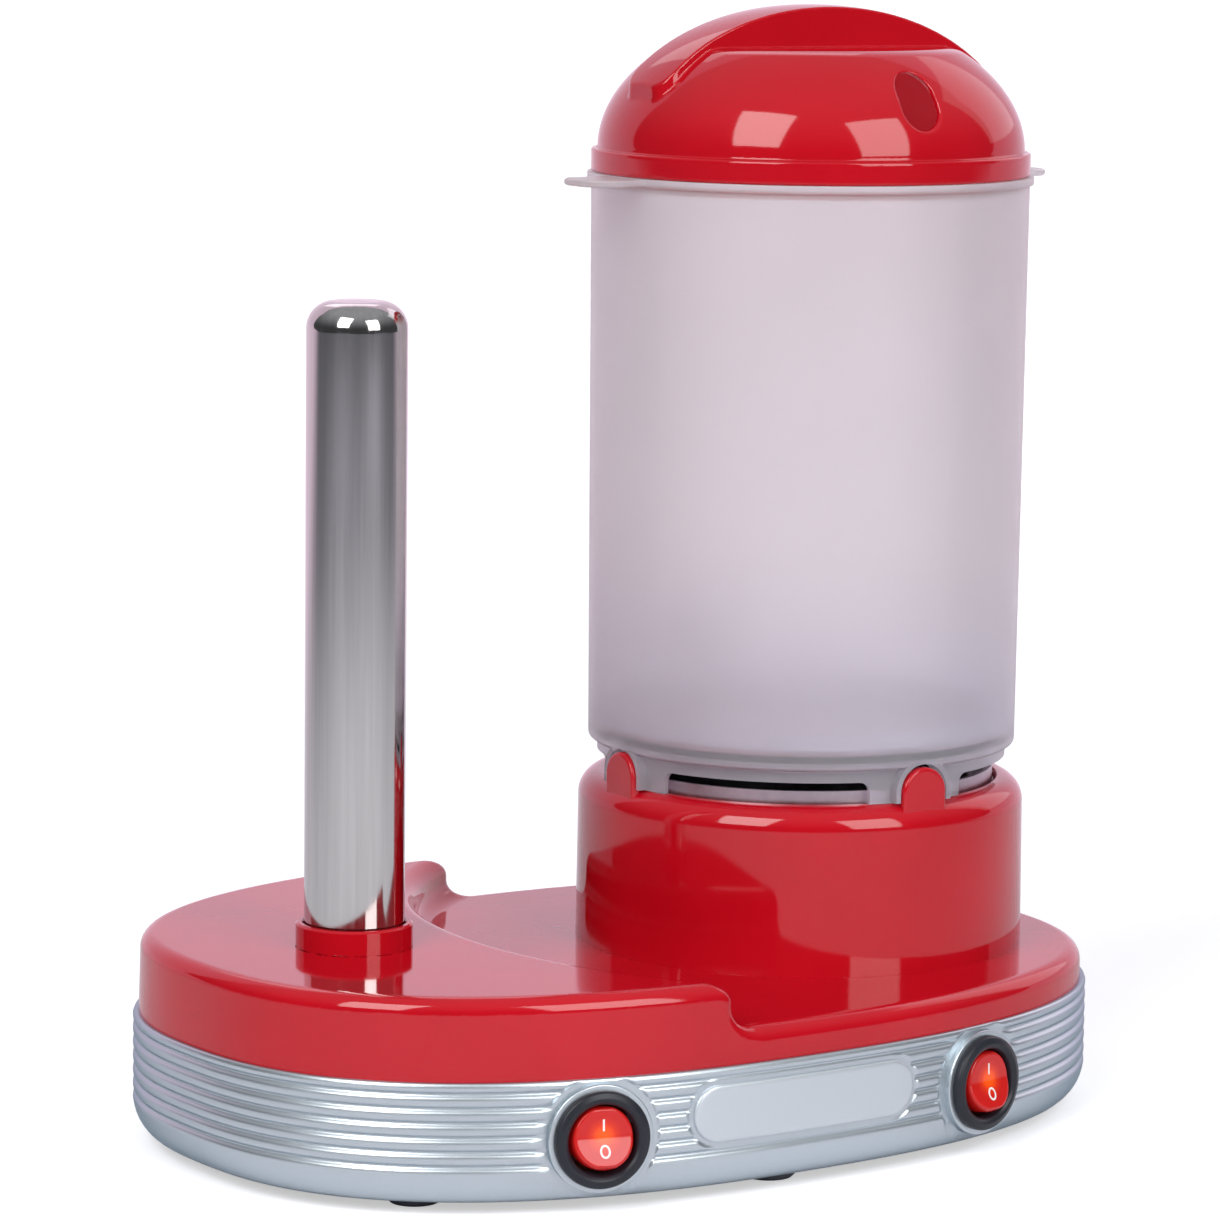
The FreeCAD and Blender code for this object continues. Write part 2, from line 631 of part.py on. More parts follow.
def lamp():
    """Neon lamp on the floor of the switch housing."""
    return turned([(0, -10), (1.7, -10), (1.7, -5.2), (0.9, -4.4), (0, -4.4)], 0, 0)


def switch_tabs():
    tabs = []
    for x, y in ((-5.5, 0), (5.5, 0), (0, -5.5)):
        tab = block(x - 0.4, x + 0.4, y - 2.4, y + 2.4, -20.5, -13)
        tabs.append(tab.cut(rod(V(x - 1, y, -18), V(x + 1, y, -18), 0.8)))
    return Part.makeCompound(tabs)


def terminal_block():
    body = block(POLES[0] - 5, POLES[3] + 5, 37, 51, BLOCK_Z, BLOCK_Z + 12)
    for x in POLES:
        body = body.cut(disc(x, 44, 2.2, BLOCK_Z + 6, BLOCK_Z + 13))
        body = body.cut(rod(V(x, 36, BLOCK_Z + 4.5), V(x, 52, BLOCK_Z + 4.5), 1.6))
    return body


def cord_bush():
    """Flanged bush in the rear wall of the band; the mains lead passes through its bore."""
    y0 = HALF_WIDTH
    along = V(0, 1, 0)
    bush = Part.makeCylinder(9.0, BUSH_PROUD, V(PANEL_X, y0, CORD_Z), along)
    bush = bush.fuse(Part.makeCylinder(5.9, 9, V(PANEL_X, y0 - 8, CORD_Z), along))
    bush = bush.fuse(Part.makeCylinder(7.6, 2.5, V(PANEL_X, y0 - 8, CORD_Z), along))
    return bush.cut(Part.makeCylinder(3.5, 14, V(PANEL_X, y0 - 10, CORD_Z), along)).removeSplitter()


def cord_clamp():
    low = CORD_Z + 3.4
    bar = block(PANEL_X - 13, PANEL_X + 13, 62.5, 69.5, low, low + 2.6)
    for x in (PANEL_X - 9, PANEL_X + 9):
        bar = bar.cut(disc(x, 66, 1.5, low - 1, low + 4))
    return bar


def clamp_screws():
    screws = []
    for x in (PANEL_X - 9, PANEL_X + 9):
        upside_down = screw(x, 66, 0, 1.1, 14, 2.4)
        upside_down.rotate(V(x, 66, 0), V(1, 0, 0), 180)
        upside_down.translate(V(0, 0, CORD_Z + 3.4 + 2.6))
        screws.append(upside_down)
    return Part.makeCompound(screws)


def behind_switch(side, x, depth):
    """Point behind a switch in its own frame: x across, depth inwards."""
    point, normal = panel_point(SWITCH_X[side])
    across = UP.cross(normal)
    return point.add(V(across).multiply(x)).sub(V(normal).multiply(depth))


def pole(i):
    """Inner end of a lead in the terminal block."""
    return V(POLES[i], 40, BLOCK_Z + 4.5)


def wiring_supply():
    """Leads from the terminal block to the first tab of each switch."""
    leads = []
    for side, i, across in (("left", 1, 5.5), ("right", 3, -5.5)):
        near = V(POLES[i], 18, BLOCK_Z + 4.5)
        inner = behind_switch(side, across, 34)
        tab = behind_switch(side, across, 20.5)
        leads.append(lead([pole(i), near, V(POLES[i], -8, 14), inner, tab], 1.1))
    return Part.makeCompound(leads)


def wiring_spike():
    """Leads from the left switch and the terminal block to the spike's heater."""
    live = [
        behind_switch("left", -5.5, 20.5), behind_switch("left", -5.5, 36),
        V(SPIKE_X + 4, -18, 22), V(SPIKE_X + 4, 0, 27), V(SPIKE_X + 4, 0, 45)]
    neutral = [
        pole(0), V(POLES[0], 24, BLOCK_Z + 4.5), V(SPIKE_X + 22, 10, 20),
        V(SPIKE_X - 4, 4, 23), V(SPIKE_X - 4, 0, 29), V(SPIKE_X - 4, 0, 45)]
    return Part.makeCompound([lead(live, 1.1), lead(neutral, 1.1)])


def wiring_dish():
    """Leads from the right switch and the terminal block to the element's ends."""
    x1, y1 = polar(TOWER_X, 0, 28, 200)
    x2, y2 = polar(TOWER_X, 0, 28, 160)
    live = [
        behind_switch("right", 5.5, 20.5), behind_switch("right", 5.5, 36),
        V(x1 + 4, -26, 28), V(x1, y1, 34), V(x1, y1, 48)]
    neutral = [
        pole(2), V(POLES[2], 26, BLOCK_Z + 4.5), V(x2, y2 + 4, 27), V(x2, y2, 33), V(x2, y2, 48)]
    return Part.makeCompound([lead(live, 1.1), lead(neutral, 1.1)])


# ---- container, tray and lid -----------------------------------------------------------------
def sector(start, end, radius, z0, z1):
    """Wedge about the tower axis between two directions."""
    corners = [V(TOWER_X, 0, z0)]
    for i in range(5):
        angle = start + (end - start) * i / 4
        corners.append(V(*polar(TOWER_X, 0, radius, angle), z0))
    return Part.Face(Part.makePolygon(corners + corners[:1])).extrude(V(0, 0, z1 - z0))


def container_ear():
    """Thin tongue of the flange, facing +X."""
    reach = TOWER_X + EAR_REACH
    tongue = block(TOWER_X + 48, reach, -9, 9, LID_SEAT - 2, LID_SEAT)
    corners = [e for e in tongue.Edges if e.BoundBox.ZLength > 1.9 and e.BoundBox.XMin > reach - 1]
    return tongue.makeFillet(6.5, corners)


def lug_arch(half, inner, outer, foot):
    """Round-headed block about a lug's outline, facing +X."""
    crown = LUG_TOP - LUG_WIDTH / 2 + 0.3
    stem = block(TOWER_X + inner, TOWER_X + outer, -half, half, foot, crown)
    head = Part.makeCylinder(half, outer - inner, V(TOWER_X + inner, 0, crown), V(1, 0, 0))
    below = block(TOWER_X + inner - 1, TOWER_X + outer + 1, -half - 1, half + 1, foot - 20, foot)
    return stem.fuse(head).cut(below)


def container():
    foot = CONTAINER_FOOT_RADIUS
    top = CONTAINER_TOP_RADIUS
    wall = CONTAINER_WALL
    neck = LID_RADIUS - 2.2
    shoulder = TOWER_TOP + 8.5
    floor = TOWER_TOP + 10
    path = [
        (SKIRT_RADIUS - 1.7, TOWER_TOP), (SKIRT_RADIUS, TOWER_TOP), (SKIRT_RADIUS, shoulder - 0.5),
        (*arc_mid(SKIRT_RADIUS + 0.5, shoulder - 0.5, 0.5, 135), SKIRT_RADIUS + 0.5, shoulder),
        (foot - 1.4, shoulder),
        (*arc_mid(foot - 1.4, shoulder + 1.4, 1.4, -45), foot, shoulder + 1.4),
        (top, LID_SEAT - 2), (LID_RADIUS + 0.8, LID_SEAT - 2), (LID_RADIUS + 0.8, LID_SEAT),
        (neck, LID_SEAT), (neck, LID_SEAT + 4), (neck - 1.4, LID_SEAT + 4), (neck - 1.4, LID_SEAT - 1.6),
        (top - wall, LID_SEAT - 3.4), (foot - wall, floor + 3.2),
        (*arc_mid(foot - wall - 1.2, floor + 3.1, 1.2, -45), foot - wall - 1.2, floor + 1.9),
        (0, floor + 1.9), (0, floor), (SKIRT_RADIUS - 1.7, floor)]
    body = turned(path, TOWER_X, 0)
    arch = lug_arch(LUG_WIDTH / 2 + 1.8, SKIRT_RADIUS - 1.2, foot - 0.2, TOWER_TOP + 0.3)
    body = joined(
        [body] + [around(container_ear(), TOWER_X, 0, turn) for turn in (0, 180)]
        + [around(arch, TOWER_X, 0, turn) for turn in (0, 90, 180, 270)])
    body = body.cut(disc(TOWER_X, 0, neck - 1.4, LID_SEAT - 2.2, LID_SEAT + 1))
    notch = lug_arch(LUG_WIDTH / 2 + 0.5, 45, 58, TOWER_TOP - 1)
    window = sector(15, 75, 60, TOWER_TOP - 1, TOWER_TOP + 5.5)
    for turn in (0, 90, 180, 270):
        body = body.cut(around(notch, TOWER_X, 0, turn))
        body = body.cut(around(window, TOWER_X, 0, turn))
    for radius, count in ((16, 6), (32, 12)):
        for i in range(count):
            x, y = polar(TOWER_X, 0, radius, 360 * i / count)
            body = body.cut(disc(x, y, 3.0, floor - 1, floor + 3))
    return around(body.removeSplitter(), TOWER_X, 0, KEY_TURN)


def sausage_tray():
    """Loose perforated tray with a low rim and one finger tab."""
    floor = TOWER_TOP + 11.9
    path = [
        (0, floor), (48.6, floor), (50.2, floor + 1.4), (50.2, floor + 5), (48.9, floor + 5),
        (48.9, floor + 1.6), (0, floor + 1.6)]
    tray = turned(path, TOWER_X, 0)
    tab = block(TOWER_X - 8, TOWER_X + 8, 46.6, 48.6, floor + 0.8, floor + 26)
    corners = [e for e in tab.Edges if e.BoundBox.YLength > 1.9 and e.BoundBox.ZMin > floor + 25]
    tray = tray.fuse(tab.makeFillet(5, corners))
    for radius, count in ((0, 1), (10, 6), (20, 12), (30, 18), (40, 24)):
        for i in range(count):
            x, y = polar(TOWER_X, 0, radius, 360 * i / count)
            tray = tray.cut(disc(x, y, 2.0, floor - 1, floor + 3))
    return tray.removeSplitter()


def dome(radius, height, low):
    """Solid flat dome, a tight shoulder arc and a wide crown arc, on a cylinder down to low."""
    z = LID_SEAT + 6
    shoulder = 0.46 * radius
    reach = radius - shoulder
    crown = (radius ** 2 + height ** 2 - 2 * radius * shoulder) / (2 * (height - shoulder))
    join = math.degrees(math.atan2(crown - height, reach))
    sink = z + height - crown
    path = [
        (0, low), (radius, low), (radius, z),
        (*arc_mid(reach, z, shoulder, join / 2), *arc_mid(0, sink, crown, join)),
        (*arc_mid(0, sink, crown, (join + 90) / 2), 0, z + height)]
    return turned(path, TOWER_X, 0)


def grip_cuts(half, ledge):
    """Blocks in front of and behind the handle, above the ledge."""
    cuts = []
    for side in (-1, 1):
        y0, y1 = sorted((side * half, side * 70))
        cuts.append(block(TOWER_X - 70, TOWER_X + 70, y0, y1, ledge, ledge + 40))
    return cuts


def lid_vent():
    """Upright slot with round ends through the front of the dome."""
    half = 1.1
    radius = 5.1
    z = LID_SEAT + 18.7
    slot = block(TOWER_X - radius, TOWER_X + radius, -60, -35, z - half, z + half)
    ends = [Part.makeCylinder(radius, 25, V(TOWER_X, -60, z + s * half), V(0, 1, 0)) for s in (-1, 1)]
    return joined([slot] + ends)


def lid():
    crown = LID_HEIGHT - 6 - 1.5
    ledge = LID_SEAT + 31.3
    grip = 9.5
    reach = 48.9
    outside = dome(53.0, crown, LID_SEAT)
    for cut in grip_cuts(grip, ledge):
        outside = outside.cut(cut)
    strap = block(TOWER_X - reach, TOWER_X + reach, -grip, grip, LID_SEAT + 15, LID_SEAT + 60)
    corners = [e for e in strap.Edges if e.BoundBox.ZLength > 30]
    strap = strap.makeFillet(5, corners)
    strap = strap.common(dome(55.3, crown + 1.5, LID_SEAT))
    rim = turned([
        (51.0, LID_SEAT), (LID_RADIUS, LID_SEAT), (LID_RADIUS, LID_SEAT + 4.9),
        (LID_RADIUS - 0.8, LID_SEAT + 5.8), (51.0, LID_SEAT + 5.8)], TOWER_X, 0)
    outside = joined([outside, strap, rim])
    inside = dome(50.9, crown - 2, LID_SEAT - 1)
    for cut in grip_cuts(grip - 2, ledge - 2):
        inside = inside.cut(cut)
    shell = outside.cut(inside)
    shell = shell.cut(disc(TOWER_X, 0, LID_RADIUS - 1.8, LID_SEAT - 1, LID_SEAT + 4.6))
    shell = shell.cut(lid_vent()).removeSplitter()
    return around(shell, TOWER_X, 0, LID_TURN)


# ---- nodes -----------------------------------------------------------------------------------
NODES = {
    "top_cover": top_cover, "tower": tower, "spike_collar": spike_collar, "side_band": side_band,
    "name_plate": name_plate, "bottom_cover": bottom_cover, "rubber_feet": rubber_feet,
    "housing_screws": housing_screws, "spike_tube": spike_tube, "spike_heater": spike_heater,
    "spike_cap": spike_cap, "spike_bracket": spike_bracket, "bracket_screws": bracket_screws,
    "heating_dish": heating_dish, "dish_seal": dish_seal, "heating_element": heating_element,
    "dish_clamp": dish_clamp, "dish_nuts": dish_nuts, "clamp_ring_screws": clamp_ring_screws,
    "thermostat": thermostat, "thermal_fuse": thermal_fuse, "heat_shield": heat_shield,
    "shield_spacers": shield_spacers, "terminal_block": terminal_block, "cord_bush": cord_bush,
    "cord_clamp": cord_clamp, "clamp_screws": clamp_screws, "wiring_supply": wiring_supply,
    "wiring_spike": wiring_spike, "wiring_dish": wiring_dish, "container": container,
    "sausage_tray": sausage_tray, "lid": lid}
SWITCH_NODES = {"switch_body": switch_body, "rocker": rocker, "lamp": lamp, "switch_tabs": switch_tabs}

os.makedirs("parts", exist_ok=True)
for name, make in NODES.items():
    make().exportStep(f"parts/{name}.step")
for name, make in SWITCH_NODES.items():
    for side, x in SWITCH_X.items():
        on_panel(make(), x).exportStep(f"parts/{name}_{side}.step")
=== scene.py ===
import math

import bmesh
import bpy
import numpy as np
from mathutils import Matrix, Vector


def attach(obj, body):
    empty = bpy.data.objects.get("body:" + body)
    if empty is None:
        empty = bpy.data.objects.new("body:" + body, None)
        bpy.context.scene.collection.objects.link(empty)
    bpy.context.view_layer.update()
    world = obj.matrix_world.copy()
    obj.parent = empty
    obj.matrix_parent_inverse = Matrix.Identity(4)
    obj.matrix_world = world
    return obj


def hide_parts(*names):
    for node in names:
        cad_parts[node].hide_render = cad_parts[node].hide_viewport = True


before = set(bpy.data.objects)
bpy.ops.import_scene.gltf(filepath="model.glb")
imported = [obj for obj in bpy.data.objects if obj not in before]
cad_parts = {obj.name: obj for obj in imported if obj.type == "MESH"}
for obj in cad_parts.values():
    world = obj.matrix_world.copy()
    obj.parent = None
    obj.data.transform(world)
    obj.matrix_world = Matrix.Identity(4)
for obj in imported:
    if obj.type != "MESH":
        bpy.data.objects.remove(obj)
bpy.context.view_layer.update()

# Lengths are in millimetres in the model's frame, and turned into metres when a mesh is made. Those in
# materials and lights, and where a comment says so, are in metres.
MM = 0.001

# ---- the object's main dimensions --------------------------------------------------------------
HALF_LENGTH, HALF_WIDTH, SQUARENESS = 123.2, 85.4, 2.43
BASE_X = -0.4
TOWER_X = BASE_X + 55.0
SPIKE_X = BASE_X - 77.0
PANEL_X = BASE_X - 5.0
SWITCH_X = {"left": PANEL_X - 54.75, "right": PANEL_X + 54.75}
SWITCH_Z = 18.0
BAND_TOP, DECK, PLATEAU, TOWER_TOP, LID_SEAT = 31.8, 40.0, 51.0, 81.5, 231.5
RISER_X, RISER_Y, RISER_R, RISER_ROUND = BASE_X + 68.5, -13.0, 120.0, 4.8
PLATE_Z, PLATE_LENGTH, PLATE_HEIGHT = 21.0, 63.0, 13.5
TOWER_HOLE, COLLAR_HOLE, COVER_WALL = 55.4, 13.35, 2.2    # radii of the cover's holes, and its wall
GROOVES, GROOVE_PITCH, TOP_GROOVE = 6, 3.4, 29.2          # the band's grooves, from the top one down
GROOVE_HALF, GROOVE_DEPTH, RIB_ROUND = 0.9, 0.75, 0.16
GROOVE_FADE, SMOOTH_DEPTH = 0.8, 0.45      # run-out of a groove, and how far the smooth places lie back
SWITCH_CLEAR, PLATE_CLEAR, SWITCH_HOLE = 14.6, 8.3, 10.6  # radii of the smooth places and the holes
ROCKER_RADIUS, DRUM_RADIUS, ROCKER_EDGE = 7.35, 7.7, 0.9
LUG_CROWN, ARCH_CROWN = 83.95, 84.25       # heights at which the lugs and the arches turn round
ROCKER_TILT = math.radians(12)
LID_TURN = math.radians(-4.6)
DOME_FOOT = 5.8            # height of the dome's foot above the lid's seat
KEY_TURN = -2.5            # degrees: lugs and container sit slightly turned on the base
FLOOR_FADE = (0.35, 1.3)   # metres from the middle over which the floor changes
FLOOR_GLOW = (0.5, 0.9)    # near and far: lifts the floor that the camera sees to white
MIRRORED_TINT = (0.9, 0.68, 0.83)    # colour of that lift in mirror images
SKY = (0.07, 0.5)          # strength of the world at the horizon and overhead
SWEEP_SIDE, SWEEP_BEND = 4000, 900    # half width of the floor, and the radius of its bend
AZIMUTH, PITCH, ROLL = math.radians(34.8), math.radians(8.2), math.radians(0.686)    # the camera's
FOCAL_PIXELS, FRAME_PIXELS, SENSOR = 5250, 1220, 36
WINDOW = (15, 75)          # directions between which a window opens the container's skirt


# ---- mesh helpers ------------------------------------------------------------------------------
def new_mesh(name, verts, faces):
    mesh = bpy.data.meshes.new(name)
    mesh.from_pydata([tuple(c * MM for c in v) for v in verts], [], [tuple(f) for f in faces])
    return mesh


def new_object(name, data):
    obj = bpy.data.objects.new(name, data)
    bpy.context.scene.collection.objects.link(obj)
    return obj


def dress(obj, body, material, replaced):
    """Gives a piece its material, its body and the nodes that it stands for."""
    obj.data.materials.append(material)
    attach(obj, body)
    if replaced:
        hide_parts(*replaced)
    return obj


def make_object(name, verts, faces, body, material, slot, replaced=(), smooth=True):
    mesh = new_mesh(name, verts, faces)
    mesh.validate()
    if smooth:
        mesh.shade_smooth()
    return dress(new_object(name, mesh), body, material, replaced)


def round_path(corners, closed=True, steps=5):
    """Turns (r, z, radius) corners into a list of points with the corners rounded."""
    points = []
    count = len(corners)
    for i, (r, z, radius) in enumerate(corners):
        if radius <= 0 or (not closed and i in (0, count - 1)):
            points.append((r, z))
            continue
        p = Vector((r, z))
        a = Vector(corners[i - 1][:2]) - p
        b = Vector(corners[(i + 1) % count][:2]) - p
        angle = a.angle(b)
        if abs(angle - math.pi) < 1e-3:
            points.append((r, z))
            continue
        reach = radius / math.tan(angle / 2)
        start = p + a.normalized() * reach
        end = p + b.normalized() * reach
        halfway = (a.normalized() + b.normalized()).normalized()
        centre = p + halfway * (radius / math.sin(angle / 2))
        turn = (start - centre).angle_signed(end - centre)
        n = max(2, int(steps * abs(turn) / 1.2 + 1))
        for k in range(n + 1):
            offset = (start - centre).copy()
            t = -turn * k / n
            rotated = Vector((offset.x * math.cos(t) - offset.y * math.sin(t),
                              offset.x * math.sin(t) + offset.y * math.cos(t)))
            points.append(tuple(centre + rotated))
    return supported(points, closed)


def supported(points, closed):
    """Adds a point close to both ends of every long run, so that flat walls shade flat."""
    out = []
    count = len(points)
    for i, a in enumerate(points):
        out.append(a)
        if not closed and i == count - 1:
            break
        b = points[(i + 1) % count]
        length = math.hypot(b[0] - a[0], b[1] - a[1])
        if length > 1.5:
            for t in (0.2 / length, 1 - 0.2 / length):
                out.append((a[0] + (b[0] - a[0]) * t, a[1] + (b[1] - a[1]) * t))
    return out


def lathe(points, segments, x=0.0, y=0.0, closed=True):
    """Vertices and faces of a profile of (r, z) turned about the upright axis through (x, y)."""
    verts, faces = [], []
    rows = []
    for r, z in points:
        if abs(r) < 1e-6:
            rows.append([len(verts)] * segments)
            verts.append((x, y, z))
            continue
        rows.append(list(range(len(verts), len(verts) + segments)))
        for i in range(segments):
            t = 2 * math.pi * i / segments
            verts.append((x + r * math.cos(t), y + r * math.sin(t), z))
    spans = len(rows) if closed else len(rows) - 1
    for k in range(spans):
        low, high = rows[k], rows[(k + 1) % len(rows)]
        for i in range(segments):
            j = (i + 1) % segments
            quad = []
            for v in (low[i], low[j], high[j], high[i]):
                if v not in quad:
                    quad.append(v)
            if len(quad) > 2:
                faces.append(quad)
    return verts, faces


def panel_frame(x):
    """Point of the front outline at x, the sideways axis and the outward normal."""
    u = (x - BASE_X) / HALF_LENGTH
    v = (1 - abs(u) ** SQUARENESS) ** (1 / SQUARENESS)
    nx = math.copysign(abs(u) ** (SQUARENESS - 1) / HALF_LENGTH, u)
    ny = -(v ** (SQUARENESS - 1)) / HALF_WIDTH
    normal = Vector((nx, ny, 0)).normalized()
    side = Vector((0, 0, 1)).cross(normal)
    return Vector((x, -HALF_WIDTH * v, SWITCH_Z)), side, normal


def on_panel(verts, x):
    """Moves vertices made about local +Z, outwards, with local +Y up, to the panel at x."""
    point, side, normal = panel_frame(x)
    up = Vector((0, 0, 1))
    return [tuple(point + side * v[0] + up * v[1] + normal * v[2]) for v in verts]


# ---- surface nets: a mesh from a distance function --------------------------------------------
def surface_net(distance, low, high, cell):
    """Quads on distance = 0 inside a box, with their corners then moved onto the surface."""
    axes = [np.arange(low[i], high[i] + cell, cell) for i in range(3)]
    grid = np.meshgrid(*axes, indexing="ij")
    d = distance(*grid)
    inside = d < 0
    shape = np.array(d.shape)
    total = np.zeros(tuple(shape - 1) + (3,))
    hits = np.zeros(tuple(shape - 1))
    for axis in range(3):
        head = [slice(None)] * 3
        tail = [slice(None)] * 3
        head[axis], tail[axis] = slice(0, -1), slice(1, None)
        d0, d1 = d[tuple(head)], d[tuple(tail)]
        cross = inside[tuple(head)] != inside[tuple(tail)]
        index = np.argwhere(cross)
        t = d0[cross] / (d0[cross] - d1[cross])
        p = index.astype(float)
        p[:, axis] += t
        others = [k for k in range(3) if k != axis]
        for a in (0, -1):
            for b in (0, -1):
                c = index.copy()
                c[:, others[0]] += a
                c[:, others[1]] += b
                ok = np.all((c >= 0) & (c < shape - 1), axis=1)
                cc = c[ok]
                np.add.at(hits, tuple(cc.T), 1)
                np.add.at(total, tuple(cc.T), p[ok])
    used = hits > 0
    number = np.full(used.shape, -1)
    number[used] = np.arange(used.sum())
    points = total[used] / hits[used][:, None] * cell + np.array(low, float)
    faces = []
    for axis in range(3):
        head = [slice(None)] * 3
        tail = [slice(None)] * 3
        head[axis], tail[axis] = slice(0, -1), slice(1, None)
        a0, a1 = inside[tuple(head)], inside[tuple(tail)]
        u, v = [k for k in range(3) if k != axis]
        for flag, order in ((a0 & ~a1, 1), (~a0 & a1, -1)):
            index = np.argwhere(flag)
            keep = (index[:, u] > 0) & (index[:, v] > 0)
            keep &= (index[:, u] < shape[u] - 1) & (index[:, v] < shape[v] - 1)
            index = index[keep]
            ring = []
            for du, dv in ((-1, -1), (0, -1), (0, 0), (-1, 0)):
                c = index.copy()
                c[:, u] += du
                c[:, v] += dv
                ring.append(number[tuple(c.T)])
            quad = np.stack(ring, 1)
            if (order == 1) == (axis == 1):
                quad = quad[:, ::-1]
            faces.append(quad)
    faces = np.concatenate(faces)
    faces = faces[(faces >= 0).all(1)]
    for _ in range(4):
        value, grad = gradient(distance, points)
        length2 = np.maximum((grad ** 2).sum(1), 0.2)
        step = value[:, None] * grad / length2[:, None]
        size = np.linalg.norm(step, axis=1)
        step *= np.minimum(1, 0.6 * cell / np.maximum(size, 1e-9))[:, None]
        points -= step
    return points, faces


def gradient(distance, points, h=0.02):
    columns = []
    for axis in range(3):
        shift = np.zeros(3)
        shift[axis] = h
        a = distance(*(points + shift).T)
        b = distance(*(points - shift).T)
        columns.append((a - b) / (2 * h))
    return distance(*points.T), np.stack(columns, 1)


def outward(distance, points, reach):
    """Unit normals of a distance function, its slope taken over twice the reach."""
    _, grad = gradient(distance, points, reach)
    return grad / np.maximum(np.linalg.norm(grad, axis=1), 1e-9)[:, None]


def net_object(name, distance, low, high, cell, reach, body, replaced):
    """Red piece on a distance function's zero surface."""
    points, faces = surface_net(distance, low, high, cell)
    mesh = new_mesh(name, points.tolist(), faces.tolist())
    mesh.shade_smooth()
    mesh.normals_split_custom_set_from_vertices(outward(distance, points, reach).tolist())
    return dress(new_object(name, mesh), body, RED, replaced)


def union_round(a, b, r):
    u = np.maximum(r - a, 0)
    v = np.maximum(r - b, 0)
    return np.maximum(r, np.minimum(a, b)) - np.sqrt(u * u + v * v)


def meet_round(a, b, r):
    u = np.maximum(r + a, 0)
    v = np.maximum(r + b, 0)
    return np.minimum(-r, np.maximum(a, b)) + np.sqrt(u * u + v * v)


def cut_round(a, b, r):
    return meet_round(a, -b, r)


def oval_distance(x, y, inset):
    a = HALF_LENGTH - inset
    b = HALF_WIDTH - inset
    u = np.abs(x - BASE_X) / a
    v = np.abs(y) / b
    s = np.maximum(u ** SQUARENESS + v ** SQUARENESS, 1e-9)
    f = s ** (1 / SQUARENESS)
    k = s ** (1 / SQUARENESS - 1)
    gx = k * u ** (SQUARENESS - 1) / a
    gy = k * v ** (SQUARENESS - 1) / b
    return (f - 1) / np.maximum(np.sqrt(gx * gx + gy * gy), 1e-4)


# ---- materials ---------------------------------------------------------------------------------
def node_material(name):
    material = bpy.data.materials.new(name)
    material.use_nodes = True
    nodes = material.node_tree.nodes
    return material, nodes, material.node_tree.links, nodes["Principled BSDF"]


def object_noise(nodes, links, scale, detail=4.0, stretch=(1, 1, 1)):
    coords = nodes.new("ShaderNodeTexCoord")
    mapping = nodes.new("ShaderNodeMapping")
    mapping.inputs["Scale"].default_value = stretch
    noise = nodes.new("ShaderNodeTexNoise")
    noise.inputs["Scale"].default_value = scale
    noise.inputs["Detail"].default_value = detail
    links.new(coords.outputs["Object"], mapping.inputs["Vector"])
    links.new(mapping.outputs["Vector"], noise.inputs["Vector"])
    return noise.outputs["Fac"]


def ramp(nodes, links, source, stops):
    node = nodes.new("ShaderNodeValToRGB")
    elements = node.color_ramp.elements
    while len(elements) < len(stops):
        elements.new(0.5)
    for element, (place, colour) in zip(elements, stops):
        element.position = place
        element.color = (*colour, 1) if len(colour) == 3 else colour
    links.new(source, node.inputs["Fac"])
    return node.outputs["Color"]


def spread(nodes, links, source, low, high):
    node = nodes.new("ShaderNodeMapRange")
    node.inputs["From Min"].default_value = 0.3
    node.inputs["From Max"].default_value = 0.7
    node.inputs["To Min"].default_value = low
    node.inputs["To Max"].default_value = high
    links.new(source, node.inputs["Value"])
    return node.outputs["Result"]


def ranged(nodes, links, source, low, high, first, last):
    """Smooth change from first to last as the source goes from low to high."""
    node = nodes.new("ShaderNodeMapRange")
    node.interpolation_type = "SMOOTHSTEP"
    for socket, value in zip(("From Min", "From Max", "To Min", "To Max"), (low, high, first, last)):
        node.inputs[socket].default_value = value
    links.new(source, node.inputs["Value"])
    return node.outputs["Result"]


def maths(nodes, links, operation, a, b):
    node = nodes.new("ShaderNodeMath")
    node.operation = operation
    links.new(a, node.inputs[0])
    links.new(b, node.inputs[1])
    return node.outputs["Value"]


def blended(nodes, links, factor, first, second):
    node = nodes.new("ShaderNodeMix")
    node.data_type = "RGBA"
    for socket, source in (("Factor", factor), ("A", first), ("B", second)):
        links.new(source, node.inputs[socket])
    return node.outputs["Result"]


def bump(nodes, links, shader, source, strength, distance):
    node = nodes.new("ShaderNodeBump")
    node.inputs["Strength"].default_value = strength
    node.inputs["Distance"].default_value = distance
    links.new(source, node.inputs["Height"])
    links.new(node.outputs["Normal"], shader.inputs["Normal"])


def plastic(name, dark, light, rough, scale=60, grain=0.0, grain_scale=3000, ior=1.5):
    """Moulded plastic: a slow drift of colour and gloss, and a fine moulding grain."""
    material, nodes, links, shader = node_material(name)
    slow = object_noise(nodes, links, scale, 3)
    links.new(ramp(nodes, links, slow, [(0.3, dark), (0.7, light)]), shader.inputs["Base Color"])
    links.new(spread(nodes, links, slow, rough * 0.85, rough * 1.15), shader.inputs["Roughness"])
    shader.inputs["IOR"].default_value = ior
    if grain:
        bump(nodes, links, shader, object_noise(nodes, links, grain_scale, 2), grain, 0.00005)
    return material


